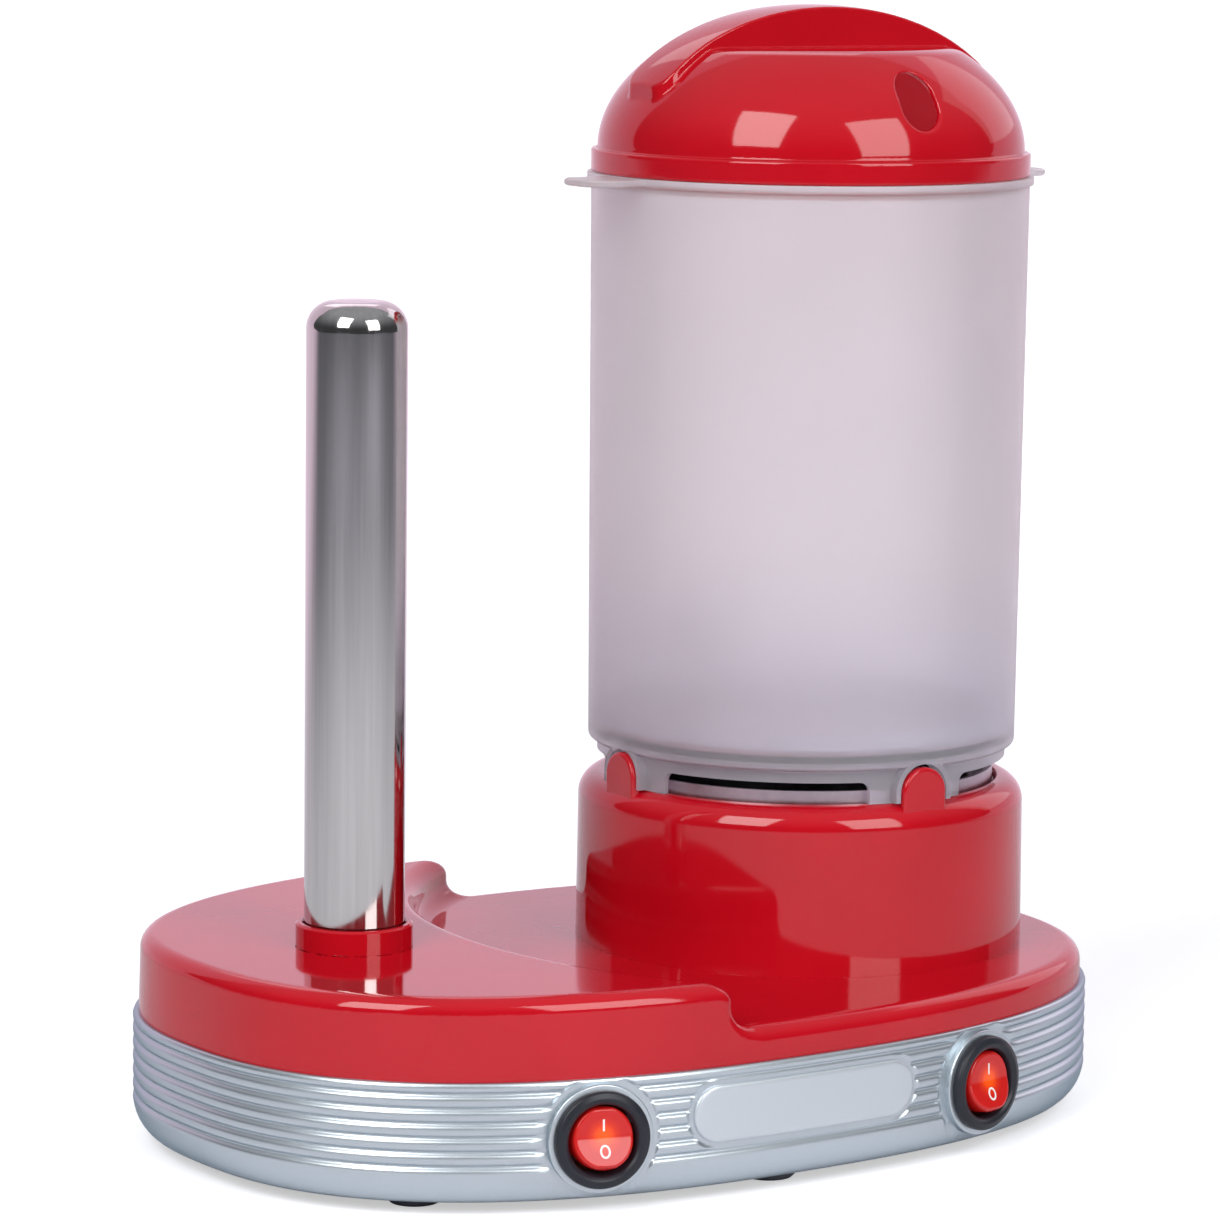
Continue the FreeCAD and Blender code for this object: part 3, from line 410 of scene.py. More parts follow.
def metal(name, dark, light, rough, scale, grain, stretch=(1, 1, 1), metallic=1.0, vary=0.3,
          edge=(1, 1, 1)):
    """Metal whose fine grain may be drawn out along an axis; edge is its tint at a glancing angle."""
    material, nodes, links, shader = node_material(name)
    fine = object_noise(nodes, links, scale, 5, stretch)
    links.new(ramp(nodes, links, fine, [(0.3, dark), (0.7, light)]), shader.inputs["Base Color"])
    links.new(spread(nodes, links, fine, rough * (1 - vary), rough * (1 + vary)),
              shader.inputs["Roughness"])
    shader.inputs["Metallic"].default_value = metallic
    shader.inputs["Specular Tint"].default_value = (*edge, 1)
    bump(nodes, links, shader, fine, grain, 0.00002)
    return material


RED = plastic("red_plastic", (0.46, 0.003, 0.010), (0.52, 0.004, 0.013), 0.07, 25)
BLACK = plastic("black_plastic", (0.015, 0.017, 0.023), (0.022, 0.024, 0.032), 0.34, 90, 0.25, 2500, 1.38)
RUBBER = plastic("foot_rubber", (0.075, 0.085, 0.10), (0.10, 0.11, 0.13), 0.72, 120, 0.5, 1800)
SEAL = plastic("seal_rubber", (0.40, 0.30, 0.34), (0.50, 0.38, 0.42), 0.45, 90, 0.2, 1500)
GREY = plastic("grey_plastic", (0.05, 0.05, 0.055), (0.08, 0.08, 0.085), 0.5, 60, 0.5, 2200)
CREAM = plastic("insulating_moulding", (0.62, 0.57, 0.45), (0.72, 0.67, 0.56), 0.5, 90, 0.3, 2200)
BROWN = plastic("phenolic_moulding", (0.10, 0.045, 0.02), (0.16, 0.07, 0.035), 0.4, 90, 0.3, 2200)
SHEATH = plastic("silicone_sheath", (0.58, 0.57, 0.53), (0.68, 0.67, 0.63), 0.5, 90, 0.3, 2200)
ZINC = metal("zinc_plate", (0.50, 0.51, 0.52), (0.66, 0.67, 0.68), 0.34, 250, 0.15)
TUBE = metal("polished_tube", (0.50, 0.485, 0.475), (0.58, 0.565, 0.555), 0.085, 900, 0.02, (1, 1, 0.02))
HEATER = metal("heater_sheath", (0.20, 0.185, 0.17), (0.34, 0.32, 0.30), 0.42, 200, 0.2)
BRASS = metal("brass_tab", (0.60, 0.42, 0.16), (0.72, 0.54, 0.24), 0.28, 300, 0.1)
SILVER = metal("silver_paint", (0.57, 0.63, 0.67), (0.61, 0.67, 0.71), 0.33, 5000, 0.06,
               metallic=0.9, vary=0.12, edge=(0.38, 0.47, 0.53))
PLATE = metal("plate_paint", (0.62, 0.67, 0.71), (0.65, 0.70, 0.74), 0.36, 5000, 0.08,
              metallic=0.6, vary=0.1)
MARK = plastic("white_ink", (0.85, 0.80, 0.76), (0.90, 0.86, 0.82), 0.4, 400)
TRAY = plastic("tray_plastic", (0.66, 0.64, 0.70), (0.72, 0.70, 0.76), 0.35, 60, 0.2, 2000)


def frosted_material():
    """Milky plastic: part of the light goes through blurred, and the rest is scattered. Its colour
    is painted a little darker towards the container's floor: painted shade."""
    material, nodes, links, shader = node_material("frosted_plastic")
    slow = object_noise(nodes, links, 22, 3)
    coords = nodes.new("ShaderNodeTexCoord")
    height = nodes.new("ShaderNodeSeparateXYZ")
    links.new(coords.outputs["Object"], height.inputs["Vector"])
    upper = ramp(nodes, links, slow, [(0.3, (0.84, 0.83, 0.835)), (0.7, (0.87, 0.86, 0.865))])
    # Painted shade: the colour towards the container's floor is darker than the upper one.
    lower = ramp(nodes, links, slow, [(0.3, (0.77, 0.755, 0.82)), (0.7, (0.80, 0.785, 0.85))])
    rise = ranged(nodes, links, height.outputs["Z"], 0.092, 0.150, 0, 1)
    links.new(blended(nodes, links, rise, lower, upper), shader.inputs["Base Color"])
    links.new(spread(nodes, links, slow, 0.29, 0.35), shader.inputs["Roughness"])
    shader.inputs["IOR"].default_value = 1.4
    shader.inputs["Transmission Weight"].default_value = 0.72
    shader.inputs["Alpha"].default_value = 0.8
    return material


def rocker_material(name, x):
    """Red with an orange glow at the rocker's upper middle, for the lamp's light through it."""
    material, nodes, links, shader = node_material(name)
    point, _, normal = panel_frame(x)
    glow_at = point + Vector((0, 0, 1)) + normal * 2.2
    coords = nodes.new("ShaderNodeTexCoord")
    distance = nodes.new("ShaderNodeVectorMath")
    distance.operation = "DISTANCE"
    distance.inputs[1].default_value = [c * MM for c in glow_at]
    links.new(coords.outputs["Object"], distance.inputs[0])
    near = ranged(nodes, links, distance.outputs["Value"], 0.0005, 0.0050, 1, 0)
    # Painted light: the body colour is also lighter and more orange near that spot, for the lamp behind
    # it.
    body = [(0.0, (0.54, 0.012, 0.010)), (0.6, (0.60, 0.03, 0.008)), (1.0, (0.66, 0.05, 0.005))]
    glow = [(0.0, (0.10, 0.0, 0.0)), (0.45, (0.34, 0.02, 0.0)), (1.0, (0.9, 0.13, 0.0))]
    links.new(ramp(nodes, links, near, body), shader.inputs["Base Color"])
    links.new(ramp(nodes, links, near, glow), shader.inputs["Emission Color"])
    shader.inputs["Emission Strength"].default_value = 0.5
    shader.inputs["Roughness"].default_value = 0.2
    return material


def inner_red_material():
    """Satin inside of the lid, with a faint glow for the light through its thin red wall."""
    material, nodes, links, shader = node_material("red_plastic_inside")
    slow = object_noise(nodes, links, 25, 3)
    links.new(ramp(nodes, links, slow, [(0.3, (0.40, 0.003, 0.010)), (0.7, (0.46, 0.004, 0.013))]),
              shader.inputs["Base Color"])
    links.new(ramp(nodes, links, slow, [(0.3, (0.9, 0.006, 0.02)), (0.7, (1.0, 0.008, 0.03))]),
              shader.inputs["Emission Color"])
    shader.inputs["Emission Strength"].default_value = 0.18
    links.new(spread(nodes, links, slow, 0.5, 0.6), shader.inputs["Roughness"])
    return material


def dish_material():
    """Dark non-stick coating inside the dish and bare satin steel on its rolled rim."""
    material, nodes, links, shader = node_material("dish_coating")
    coords = nodes.new("ShaderNodeTexCoord")
    flat = nodes.new("ShaderNodeVectorMath")
    flat.operation = "MULTIPLY"
    flat.inputs[1].default_value = (1, 1, 0)
    links.new(coords.outputs["Object"], flat.inputs[0])
    reach = nodes.new("ShaderNodeVectorMath")
    reach.operation = "DISTANCE"
    reach.inputs[1].default_value = (TOWER_X * MM, 0, 0)
    links.new(flat.outputs["Vector"], reach.inputs[0])
    bare = ranged(nodes, links, reach.outputs["Value"], 0.0465, 0.0470, 0, 1)
    fine = object_noise(nodes, links, 300, 3)
    dark = ramp(nodes, links, fine, [(0.3, (0.020, 0.020, 0.022)), (0.7, (0.045, 0.045, 0.048))])
    steel = ramp(nodes, links, fine, [(0.3, (0.42, 0.35, 0.39)), (0.7, (0.50, 0.42, 0.47))])
    links.new(blended(nodes, links, bare, dark, steel), shader.inputs["Base Color"])
    links.new(bare, shader.inputs["Metallic"])
    links.new(spread(nodes, links, fine, 0.29, 0.36), shader.inputs["Roughness"])
    return material


def lamp_material():
    material, nodes, links, shader = node_material("neon_lamp")
    fine = object_noise(nodes, links, 600)
    links.new(ramp(nodes, links, fine, [(0.3, (1.0, 0.25, 0.04)), (0.7, (1.0, 0.4, 0.08))]),
              shader.inputs["Emission Color"])
    shader.inputs["Emission Strength"].default_value = 2.0
    shader.inputs["Base Color"].default_value = (1.0, 0.5, 0.2, 1)
    return material


DISH = dish_material()
FROSTED = frosted_material()
RED_INSIDE = inner_red_material()
ROCKER = {side: rocker_material(f"rocker_plastic_{side}", x) for side, x in SWITCH_X.items()}
LAMP = lamp_material()


# ---- red housing -------------------------------------------------------------------------------
def cover_outer(x, y, z, grow=0.0):
    """Distance to the cover's outside without the tower; grow below zero is the hollow inside."""
    rho = np.sqrt((x - RISER_X) ** 2 + (y - RISER_Y) ** 2)
    wall = RISER_R - RISER_ROUND
    deck = z - DECK
    plateau = meet_round(z - PLATEAU, wall - rho, RISER_ROUND)
    top = union_round(deck, plateau, RISER_ROUND) - grow
    lean = 1.4 + 0.5 * np.clip((z - BAND_TOP) / (PLATEAU - BAND_TOP), 0, 1)
    side = oval_distance(x, y, 0.0) + lean - grow
    return meet_round(top, side, 3.7 + grow)


def cover_distance(x, y, z):
    outside = cover_outer(x, y, z)
    shell = np.maximum(outside, -cover_outer(x, y, z, -COVER_WALL))
    shell = np.maximum(shell, BAND_TOP - 1.2 - z)
    tower_hole = np.sqrt((x - TOWER_X) ** 2 + y * y) - TOWER_HOLE
    collar_hole = np.sqrt((x - SPIKE_X) ** 2 + y * y) - COLLAR_HOLE
    return np.maximum(np.maximum(shell, -tower_hole), -collar_hole)


def build_housing():
    profile = round_path([
        (53.8, 37.8, 0.3), (56.2, 37.8, 0.3), (55.8, TOWER_TOP, 6.0), (49.0, TOWER_TOP, 0.6),
        (49.0, 79.1, 0.3), (44.5, 79.1, 0.4), (44.5, 76.9, 0.4), (53.0, 76.9, 0.4)], True, 9)
    make_object("tower_shell", *lathe(profile, 256, TOWER_X), "base", RED, "red", ["tower"])
    net_object("housing", cover_distance, (BASE_X - 125, -87, BAND_TOP - 2.53), (BASE_X + 125, 87, 53),
               1.0, 0.1, "base", ["top_cover"])


def lug_distance(x, y, z):
    """Round-topped lug facing +X, made about the tower axis."""
    slab = np.abs(x - TOWER_X - 52.8) - 1.3
    outline = np.where(z > LUG_CROWN, np.sqrt(y * y + (z - LUG_CROWN) ** 2), np.abs(y)) - 6.25
    outline = np.maximum(outline, 78.0 - z)
    return meet_round(slab, outline, 0.75)


def build_lugs():
    low, high = (TOWER_X + 50.1, -8, 77.43), (TOWER_X + 55.5, 8, 91.4)
    points, faces = surface_net(lug_distance, low, high, 0.4)
    grad = outward(lug_distance, points, 0.05)
    verts, quads, normals = [], [], []
    for k in range(4):
        angle = math.pi / 2 * k + math.radians(KEY_TURN)
        c, s = math.cos(angle), math.sin(angle)
        turn = np.array([[c, -s, 0], [s, c, 0], [0, 0, 1]])
        quads += (faces + len(verts)).tolist()
        verts += ((points - [TOWER_X, 0, 0]) @ turn.T + [TOWER_X, 0, 0]).tolist()
        normals += (grad @ turn.T).tolist()
    lugs = make_object("tower_lugs", verts, quads, "base", RED, "red")
    lugs.data.normals_split_custom_set_from_vertices(normals)


# ---- silver band -------------------------------------------------------------------------------
def band_profile():
    """Rows of (z, inset, groove depth) from the bottom of the band to its top."""
    lower = ((3.0, 5.0), (3.0, 4.3), (3.35, 3.55), (4.2, 2.6), (5.3, 1.75), (6.5, 1.05), (7.8, 0.55),
             (9.2, 0.2), (10.2, 0.05))
    rows = [(z, inset, 0.0) for z, inset in lower]
    half = GROOVE_PITCH / 2
    for k in reversed(range(GROOVES)):
        for i in range(13 if k == 0 else 12):
            t = -half + GROOVE_PITCH * i / 12
            groove = 0.5 + 0.5 * math.cos(math.pi * min(1, abs(t) / GROOVE_HALF))
            rib = RIB_ROUND - RIB_ROUND * max(0.0, 1 - ((half - abs(t)) / 1.1) ** 2)
            depth = GROOVE_DEPTH * groove + rib * (1 - groove)
            rows.append((TOP_GROOVE - GROOVE_PITCH * k + t, 0.0, depth))
    rows += [(31.2, 0.02, 0.1), (31.62, 0.15, 0.1), (BAND_TOP, 0.5, 0.1), (BAND_TOP, 2.9, 0.0)]
    return rows


def front_columns():
    """Angles of the columns, close together across the switch panel."""
    angles = []
    t = -math.pi
    while t < math.pi - 1e-4:
        angles.append(t)
        x = BASE_X + 123 * math.cos(t)
        fine = t < 0 and -85 < x < 72
        t += 0.003 if fine else 0.012
    return np.array(angles)


def build_band():
    rows = band_profile()
    angles = front_columns()
    count = len(angles)
    verts, faces = [], []
    centres = [panel_frame(x)[:2] for x in SWITCH_X.values()]

    def outline(inset):
        """The oval's x and y in every column; inset is one number or one for each column."""
        a, b = HALF_LENGTH - inset, HALF_WIDTH - inset
        along = (np.abs(np.cos(angles)) / a) ** SQUARENESS
        across = (np.abs(np.sin(angles)) / b) ** SQUARENESS
        r = (along + across) ** (-1 / SQUARENESS)
        return BASE_X + r * np.cos(angles), r * np.sin(angles)

    def add_row(inset, z):
        x, y = outline(inset)
        verts.extend((x[i], y[i], z) for i in range(count))

    def grooved(gap):
        return np.clip(gap / GROOVE_FADE + 0.5, 0, 1)

    x, y = outline(0.0)
    beside = np.maximum(np.abs(x - PANEL_X) - (PLATE_LENGTH / 2 - PLATE_HEIGHT / 2), 0)
    for z, inset, depth in rows:
        mask = np.ones(count)
        for point, side in centres:
            across = (x - point.x) * side.x + (y - point.y) * side.y
            gap = np.sqrt(across ** 2 + (z - SWITCH_Z) ** 2) - SWITCH_CLEAR
            near = (np.abs(across) < 20) & (y < 0)
            mask = np.where(near, np.minimum(mask, grooved(gap)), mask)
        gap = np.sqrt(beside ** 2 + (z - PLATE_Z) ** 2) - PLATE_CLEAR
        mask = np.where(y < 0, np.minimum(mask, grooved(gap)), mask)
        mask = mask * mask * (3 - 2 * mask)
        add_row(inset + depth * mask + SMOOTH_DEPTH * (1 - mask), z)
    for inset, z in ((2.9, 20.0), (2.9, 8.5), (5.2, 4.6)):
        add_row(inset, z)
    total = len(rows) + 3
    for k in range(total):
        m = (k + 1) % total
        for i in range(count):
            j = (i + 1) % count
            quad = (k * count + i, k * count + j, m * count + j, m * count + i)
            cx, cy, cz = (sum(verts[q][c] for q in quad) / 4 for c in range(3))
            if cy < 0 and any(math.hypot((cx - p.x) * s.x + (cy - p.y) * s.y, cz - SWITCH_Z) < SWITCH_HOLE
                              for p, s in centres):
                continue
            faces.append(quad)
    make_object("band", verts, faces, "base", SILVER, "silver", ["side_band"])


def build_bosses():
    """Smooth silver ring round each bezel."""
    verts, faces = [], []
    profile = round_path([
        (10.1, -4.5, 0), (12.75, -4.5, 0), (12.75, 0.9, 0.35), (11.0, 0.9, 0), (10.1, 0.9, 0)])
    for x in SWITCH_X.values():
        v, f = lathe(profile, 128)
        faces += [tuple(i + len(verts) for i in q) for q in f]
        verts += on_panel(v, x)
    make_object("switch_bosses", verts, faces, "base", SILVER, "silver")


def build_plate():
    """Blank name plate with rounded ends and a soft edge, following the band."""
    rings = [(0.0, 1.1), (0.0, 0.0), (0.12, -0.22), (0.45, -0.36), (1.2, -0.4)]
    steps = 24
    straight = 56
    half = PLATE_LENGTH / 2 - PLATE_HEIGHT / 2
    verts, faces = [], []

    def spot(px, pz, inset):
        a = HALF_LENGTH - inset
        b = HALF_WIDTH - inset
        u = abs(px - BASE_X) / a
        return (px, -b * (1 - u ** SQUARENESS) ** (1 / SQUARENESS), pz)

    loops = []
    for shrink, inset in rings:
        radius = PLATE_HEIGHT / 2 - shrink
        loop = []
        for i in range(straight):
            loop.append((PANEL_X - half + 2 * half * i / straight, PLATE_Z - radius))
        for i in range(steps):
            a = -math.pi / 2 + math.pi * i / steps
            loop.append((PANEL_X + half + radius * math.cos(a), PLATE_Z + radius * math.sin(a)))
        for i in range(straight):
            loop.append((PANEL_X + half - 2 * half * i / straight, PLATE_Z + radius))
        for i in range(steps):
            a = math.pi / 2 + math.pi * i / steps
            loop.append((PANEL_X - half + radius * math.cos(a), PLATE_Z + radius * math.sin(a)))
        loops.append(range(len(verts), len(verts) + len(loop)))
        verts += [spot(px, pz, inset) for px, pz in loop]
    n = len(loops[0])
    for low, high in zip(loops, loops[1:]):
        for i in range(n):
            j = (i + 1) % n
            faces.append((low[i], low[j], high[j], high[i]))
    top = loops[-1]
    for i in range(straight):
        a, b = top[i], top[(i + 1) % n]
        c = top[(2 * straight + steps - i - 1) % n]
        d = top[(2 * straight + steps - i) % n]
        faces.append((a, b, c, d))
    right = [top[straight + k] for k in range(steps + 1)]
    left = [top[(2 * straight + steps + k) % n] for k in range(steps + 1)]
    for fan in (right, left):
        for k in range(steps // 2):
            quad = (fan[k], fan[k + 1], fan[steps - k - 1], fan[steps - k])
            faces.append(tuple(dict.fromkeys(quad)))
    faces.append(tuple(reversed(loops[0])))
    faces = [f for f in faces if len(set(f)) > 2]
    make_object("plate", verts, faces, "base", PLATE, "silver", ["name_plate"])


# ---- switches ----------------------------------------------------------------------------------
def build_switch(side, x):
    profile = round_path([
        (9.7, -12.8, 0.4), (9.7, 0.9, 0), (11.5, 0.9, 0.2), (11.5, 1.9, 0), (11.35, 2.6, 0.9),
        (9.6, 3.3, 1.0), (8.55, 2.5, 0.7), (8.2, 1.2, 0), (8.2, -9.8, 0.4), (0, -9.8, 0), (0, -12.8, 0)],
        True, 9)
    v, f = lathe(profile, 144)
    make_object(f"bezel_{side}", on_panel(v, x), f, "base", BLACK, "black", [f"switch_body_{side}"])
    tilt = Matrix.Rotation(-ROCKER_TILT, 3, "X")
    pivot = Vector((0, 0, -0.4))

    def surface(py):
        slope = math.tan(math.radians(10))
        return 2.6 + slope * (math.sqrt(py * py + 0.5) - 0.35)

    rings, spokes = 26, 96
    v = [(0, 0, surface(0))]
    f = []
    for i in range(1, rings + 1):
        r = ROCKER_RADIUS * i / rings
        for k in range(spokes):
            a = 2 * math.pi * k / spokes
            px, py = r * math.cos(a), r * math.sin(a)
            drop = 0.0
            if r > ROCKER_RADIUS - ROCKER_EDGE:
                u = (r - ROCKER_RADIUS + ROCKER_EDGE) / ROCKER_EDGE
                drop = ROCKER_EDGE * (1 - math.sqrt(max(0.0, 1 - u * u)))
            limit = pivot.z + math.sqrt(max(0.0, DRUM_RADIUS ** 2 - py * py))
            v.append((px, py, min(surface(py) - drop, limit)))
    for level, narrow, low in ((-1.0, 1, 1), (-5.4, 0.97, 0.75)):
        for k in range(spokes):
            a = 2 * math.pi * k / spokes
            v.append((ROCKER_RADIUS * math.cos(a) * narrow, ROCKER_RADIUS * math.sin(a) * low, level))
    v.append((0, 0, -5.4))
    rows = rings + 2
    for k in range(spokes):
        j = (k + 1) % spokes
        f.append((0, 1 + k, 1 + j))
        for i in range(rows - 1):
            a, b = 1 + i * spokes, 1 + (i + 1) * spokes
            f.append((a + k, b + k, b + j, a + j))
        last = 1 + (rows - 1) * spokes
        f.append((last + k, len(v) - 1, last + j))

    def tilted(points):
        return on_panel([tuple(tilt @ (Vector(p) - pivot) + pivot) for p in points], x)

    make_object(f"rocker_{side}_skin", tilted(v), f, f"rocker_{side}", ROCKER[side], "rocker",
                [f"rocker_{side}"])
    build_marks(side, surface, tilted)


def build_marks(side, surface, tilted):
    """White bar on the upper half and white ring on the lower half, printed on the rocker."""
    v, f = [], []
    lift, width = 0.05, 0.24

    def strip(path, closed):
        start = len(v)
        n = len(path)
        for i, (px, py) in enumerate(path):
            if closed:
                before, after = path[i - 1], path[(i + 1) % n]
            else:
                before, after = path[max(i - 1, 0)], path[min(i + 1, n - 1)]
            tangent = Vector((after[0] - before[0], after[1] - before[1])).normalized()
            across = Vector((-tangent.y, tangent.x))
            for w, h in ((-width, -0.1), (-width, lift), (width, lift), (width, -0.1)):
                qx, qy = px + across.x * w, py + across.y * w
                v.append((qx, qy, surface(qy) + h))
        for i in range(n if closed else n - 1):
            j = (i + 1) % n
            for k in range(4):
                m = (k + 1) % 4
                f.append(tuple(start + c for c in (4 * i + k, 4 * j + k, 4 * j + m, 4 * i + m)))
        if not closed:
            f.append((start + 3, start + 2, start + 1, start))
            end = start + 4 * (n - 1)
            f.append((end, end + 1, end + 2, end + 3))

    strip([(0.0, 1.6 + 0.3 * i) for i in range(10)], False)
    strip([(1.05 * math.cos(2 * math.pi * i / 40), -3.1 + 1.35 * math.sin(2 * math.pi * i / 40))
           for i in range(40)], True)
    make_object(f"rocker_{side}_marks", tilted(v), f, f"rocker_{side}", MARK, "rocker", smooth=False)


# ---- container ---------------------------------------------------------------------------------
def solid(name, verts, faces):
    """Closed mesh with outward normals, ready for a boolean."""
    mesh = new_mesh(name, verts, faces)
    mesh.validate()
    work = bmesh.new()
    work.from_mesh(mesh)
    bmesh.ops.recalc_face_normals(work, faces=work.faces)
    work.to_mesh(mesh)
    work.free()
    return new_object(name, mesh)


def boolean(obj, other, operation):
    modifier = obj.modifiers.new("cut", "BOOLEAN")
    modifier.operation = operation
    modifier.object = other
    modifier.solver = "EXACT"
    graph = bpy.context.evaluated_depsgraph_get()
    result = bpy.data.meshes.new_from_object(obj.evaluated_get(graph))
    obj.modifiers.remove(modifier)
    obj.data = result
    bpy.data.objects.remove(other)


def wedge(columns):
    """Closed solid through columns of four corners each."""
    verts = [corner for column in columns for corner in column]
    faces = [(0, 1, 2, 3), tuple(4 * (len(columns) - 1) + k for k in (3, 2, 1, 0))]
    for i in range(len(columns) - 1):
        for k in range(4):
            m = (k + 1) % 4
            faces.append((4 * i + k, 4 * i + m, 4 * (i + 1) + m, 4 * (i + 1) + k))
    return verts, faces


def turned_about_tower(verts, degrees):
    c, s = math.cos(math.radians(degrees)), math.sin(math.radians(degrees))
    return [(TOWER_X + (x - TOWER_X) * c - y * s, (x - TOWER_X) * s + y * c, z) for x, y, z in verts]


def lug_arch(half, inner, outer, foot):
    """Round-headed block about a lug's outline, facing +X."""
    inner, outer = TOWER_X + inner, TOWER_X + outer
    columns = []
    for i in range(49):
        y = -half * math.cos(math.pi * i / 48)
        top = ARCH_CROWN + math.sqrt(max(0.0, half ** 2 - y * y))
        columns.append([(inner, y, foot), (outer, y, foot), (outer, y, top), (inner, y, top)])
    return wedge(columns)


def window_cutter(first, last):
    """Low opening in the skirt between two directions, with rounded upper corners."""
    radius, corner, top = 50.35, 2.6, 87.0
    length = math.radians(last - first) * radius
    stops = [corner * (1 - math.cos(math.pi / 2 * i / 6)) for i in range(7)]
    stops += [corner + (length - 2 * corner) * i / 28 for i in range(1, 28)]
    stops += [length - stop for stop in reversed(stops[:7])]
    columns = []
    for stop in stops:
        edge = min(stop, length - stop)
        drop = corner - math.sqrt(max(0.0, corner ** 2 - max(0.0, corner - edge) ** 2))
        angle = math.radians(first) + stop / radius
        c, s = math.cos(angle), math.sin(angle)
        z = top - drop
        columns.append([(TOWER_X + 46 * c, 46 * s, 79), (TOWER_X + 53 * c, 53 * s, 79),
                        (TOWER_X + 53 * c, 53 * s, z), (TOWER_X + 46 * c, 46 * s, z)])
    return wedge(columns)


def ear():
    """Thin tongue of the flange, facing +X, with rounded corners and edges."""
    outline = [(50.5, -9.5)]
    for start, cx, cy in ((-90, 62.5, -2.5), (0, 62.5, 2.5)):
        for i in range(13):
            a = math.radians(start + 90 * i / 12)
            outline.append((cx + 6.5 * math.cos(a), cy + 6.5 * math.sin(a)))
    outline.append((50.5, 9.5))
    verts, faces = [], []
    levels = ((0.45, 229.75), (0.0, 230.15), (0.0, 231.0), (0.45, 231.4))
    for shrink, z in levels:
        for x, y in outline:
            scale = 1 - shrink / 9.0
            reach = (x - 50.5) * (1 - shrink / 18.5)
            verts.append((TOWER_X + 50.5 + reach, y * scale, z))
    n = len(outline)
    for k in range(3):
        for i in range(n):
            j = (i + 1) % n
            faces.append((k * n + i, k * n + j, (k + 1) * n + j, (k + 1) * n + i))
    faces.append(tuple(range(n)))
    faces.append(tuple(reversed(range(3 * n, 4 * n))))
    return verts, faces


def build_container():
    profile = round_path([
        (49.5, 81.5, 0.3), (51.2, 81.5, 0.3), (51.2, 90.0, 0.5), (53.5, 90.0, 1.3), (54.3, 229.5, 0.5),
        (55.3, 229.5, 0.35), (55.3, 231.5, 0.35), (52.3, 231.5, 0.4), (52.3, 235.5, 0.4),
        (50.9, 235.5, 0.4), (50.9, 229.9, 0.4), (52.7, 228.1, 0.6), (51.9, 93.4, 1.6), (0, 93.4, 0),
        (0, 91.5, 0), (49.5, 91.5, 0.5)])
    body = solid("container_body", *lathe(profile, 288, TOWER_X))
    steps = [(lug_arch(8.05, 50.2, 53.3, 81.85), "UNION"), (lug_arch(6.75, 44, 58, 79), "DIFFERENCE"),
             (window_cutter(*WINDOW), "DIFFERENCE")]
    for turn in (0, 90, 180, 270):
        for (verts, faces), operation in steps:
            tool = solid("tool", turned_about_tower(verts, turn + KEY_TURN), faces)
            boolean(body, tool, operation)
    for turn in (0, 180):
        verts, faces = ear()
        boolean(body, solid("tool", turned_about_tower(verts, turn + KEY_TURN), faces), "UNION")
    body.data.shade_smooth()
    body.data.set_sharp_from_angle(angle=math.radians(38))
    body.data.materials.clear()
    dress(body, "container", FROSTED, ["container"])


# ---- lid ---------------------------------------------------------------------------------------
def ellipse_distance(r, z, a, b):
    """First-order distance to a half ellipse on a cylinder."""
    up = np.maximum(z, 0)
    k = np.sqrt((r / a) ** 2 + (up / b) ** 2)
    g = np.sqrt((r / a ** 2) ** 2 + (up / b ** 2) ** 2)
    return (k - 1) * k / np.maximum(g, 1e-4)


def lid_frame(x, y, z):
    """Lengthwise, crosswise and upward places in the lid's own frame: the lid sits slightly turned."""
    dx = x - TOWER_X
    c, s = math.cos(LID_TURN), math.sin(LID_TURN)
    return dx * c + y * s, y * c - dx * s, z - LID_SEAT


def lid_outer(along, across, h):
    """Distance to the outside of the dome, flat on top, and of the strap across it."""
    r = np.sqrt(along ** 2 + across ** 2)
    dome = ellipse_distance(r, h - DOME_FOOT, 52.9, 34.2)
    low_part = meet_round(dome, h - 31.3, 1.3)
    crest = ellipse_distance(r, h - DOME_FOOT, 55.3, 35.7)
    half = 9.7 - 0.07 * (h - 20)
    ends = meet_round(np.abs(along) - 48.9, np.abs(across) - half, 5.0)
    strap = np.maximum(meet_round(crest, ends, 0.45), 15 - h)
    return union_round(low_part, strap, 0.3)


def lid_void(x, y, z):
    """Distance to the hollow inside the lid: the dome's inside and the strap's hollow back."""
    along, across, h = lid_frame(x, y, z)
    dome = ellipse_distance(np.sqrt(along ** 2 + across ** 2), h - DOME_FOOT, 50.9, 32.2)
    roof = np.maximum(np.abs(across) - 6.6, np.abs(along) - 46.2)
    return np.maximum(dome, np.minimum(h - 29.3, roof))


def lid_distance(x, y, z):
    along, across, h = lid_frame(x, y, z)
    r = np.sqrt(along ** 2 + across ** 2)
    outside = lid_outer(along, across, h)
    rim = meet_round(np.maximum(r - 54.4, 50.5 - r), np.abs(h - DOME_FOOT / 2) - DOME_FOOT / 2, 0.7)
    outside = union_round(outside, rim, 0.5)
    outside = np.maximum(outside, -h)
    body = np.maximum(outside, -lid_void(x, y, z))
    body = np.maximum(body, -np.maximum(r - 52.7, h - 4.8))
    slot = np.sqrt(along ** 2 + np.maximum(np.abs(h - 19.6) - 1.6, 0) ** 2) - 5.1
    slot = np.maximum(slot, across + 20)
    return cut_round(body, slot, 0.8)


def paint_lid_inside(shell):
    """Gives the faces on the hollow side of the lid's wall their own satin material, with a painted glow.
    """
    mesh = shell.data
    mesh.materials.append(RED_INSIDE)
    centres = np.empty(len(mesh.polygons) * 3)
    mesh.polygons.foreach_get("center", centres)
    x, y, z = centres.reshape(-1, 3).T / MM
    hollow = -lid_void(x, y, z) > -0.6
    mesh.polygons.foreach_set("material_index", hollow.astype(np.int32))


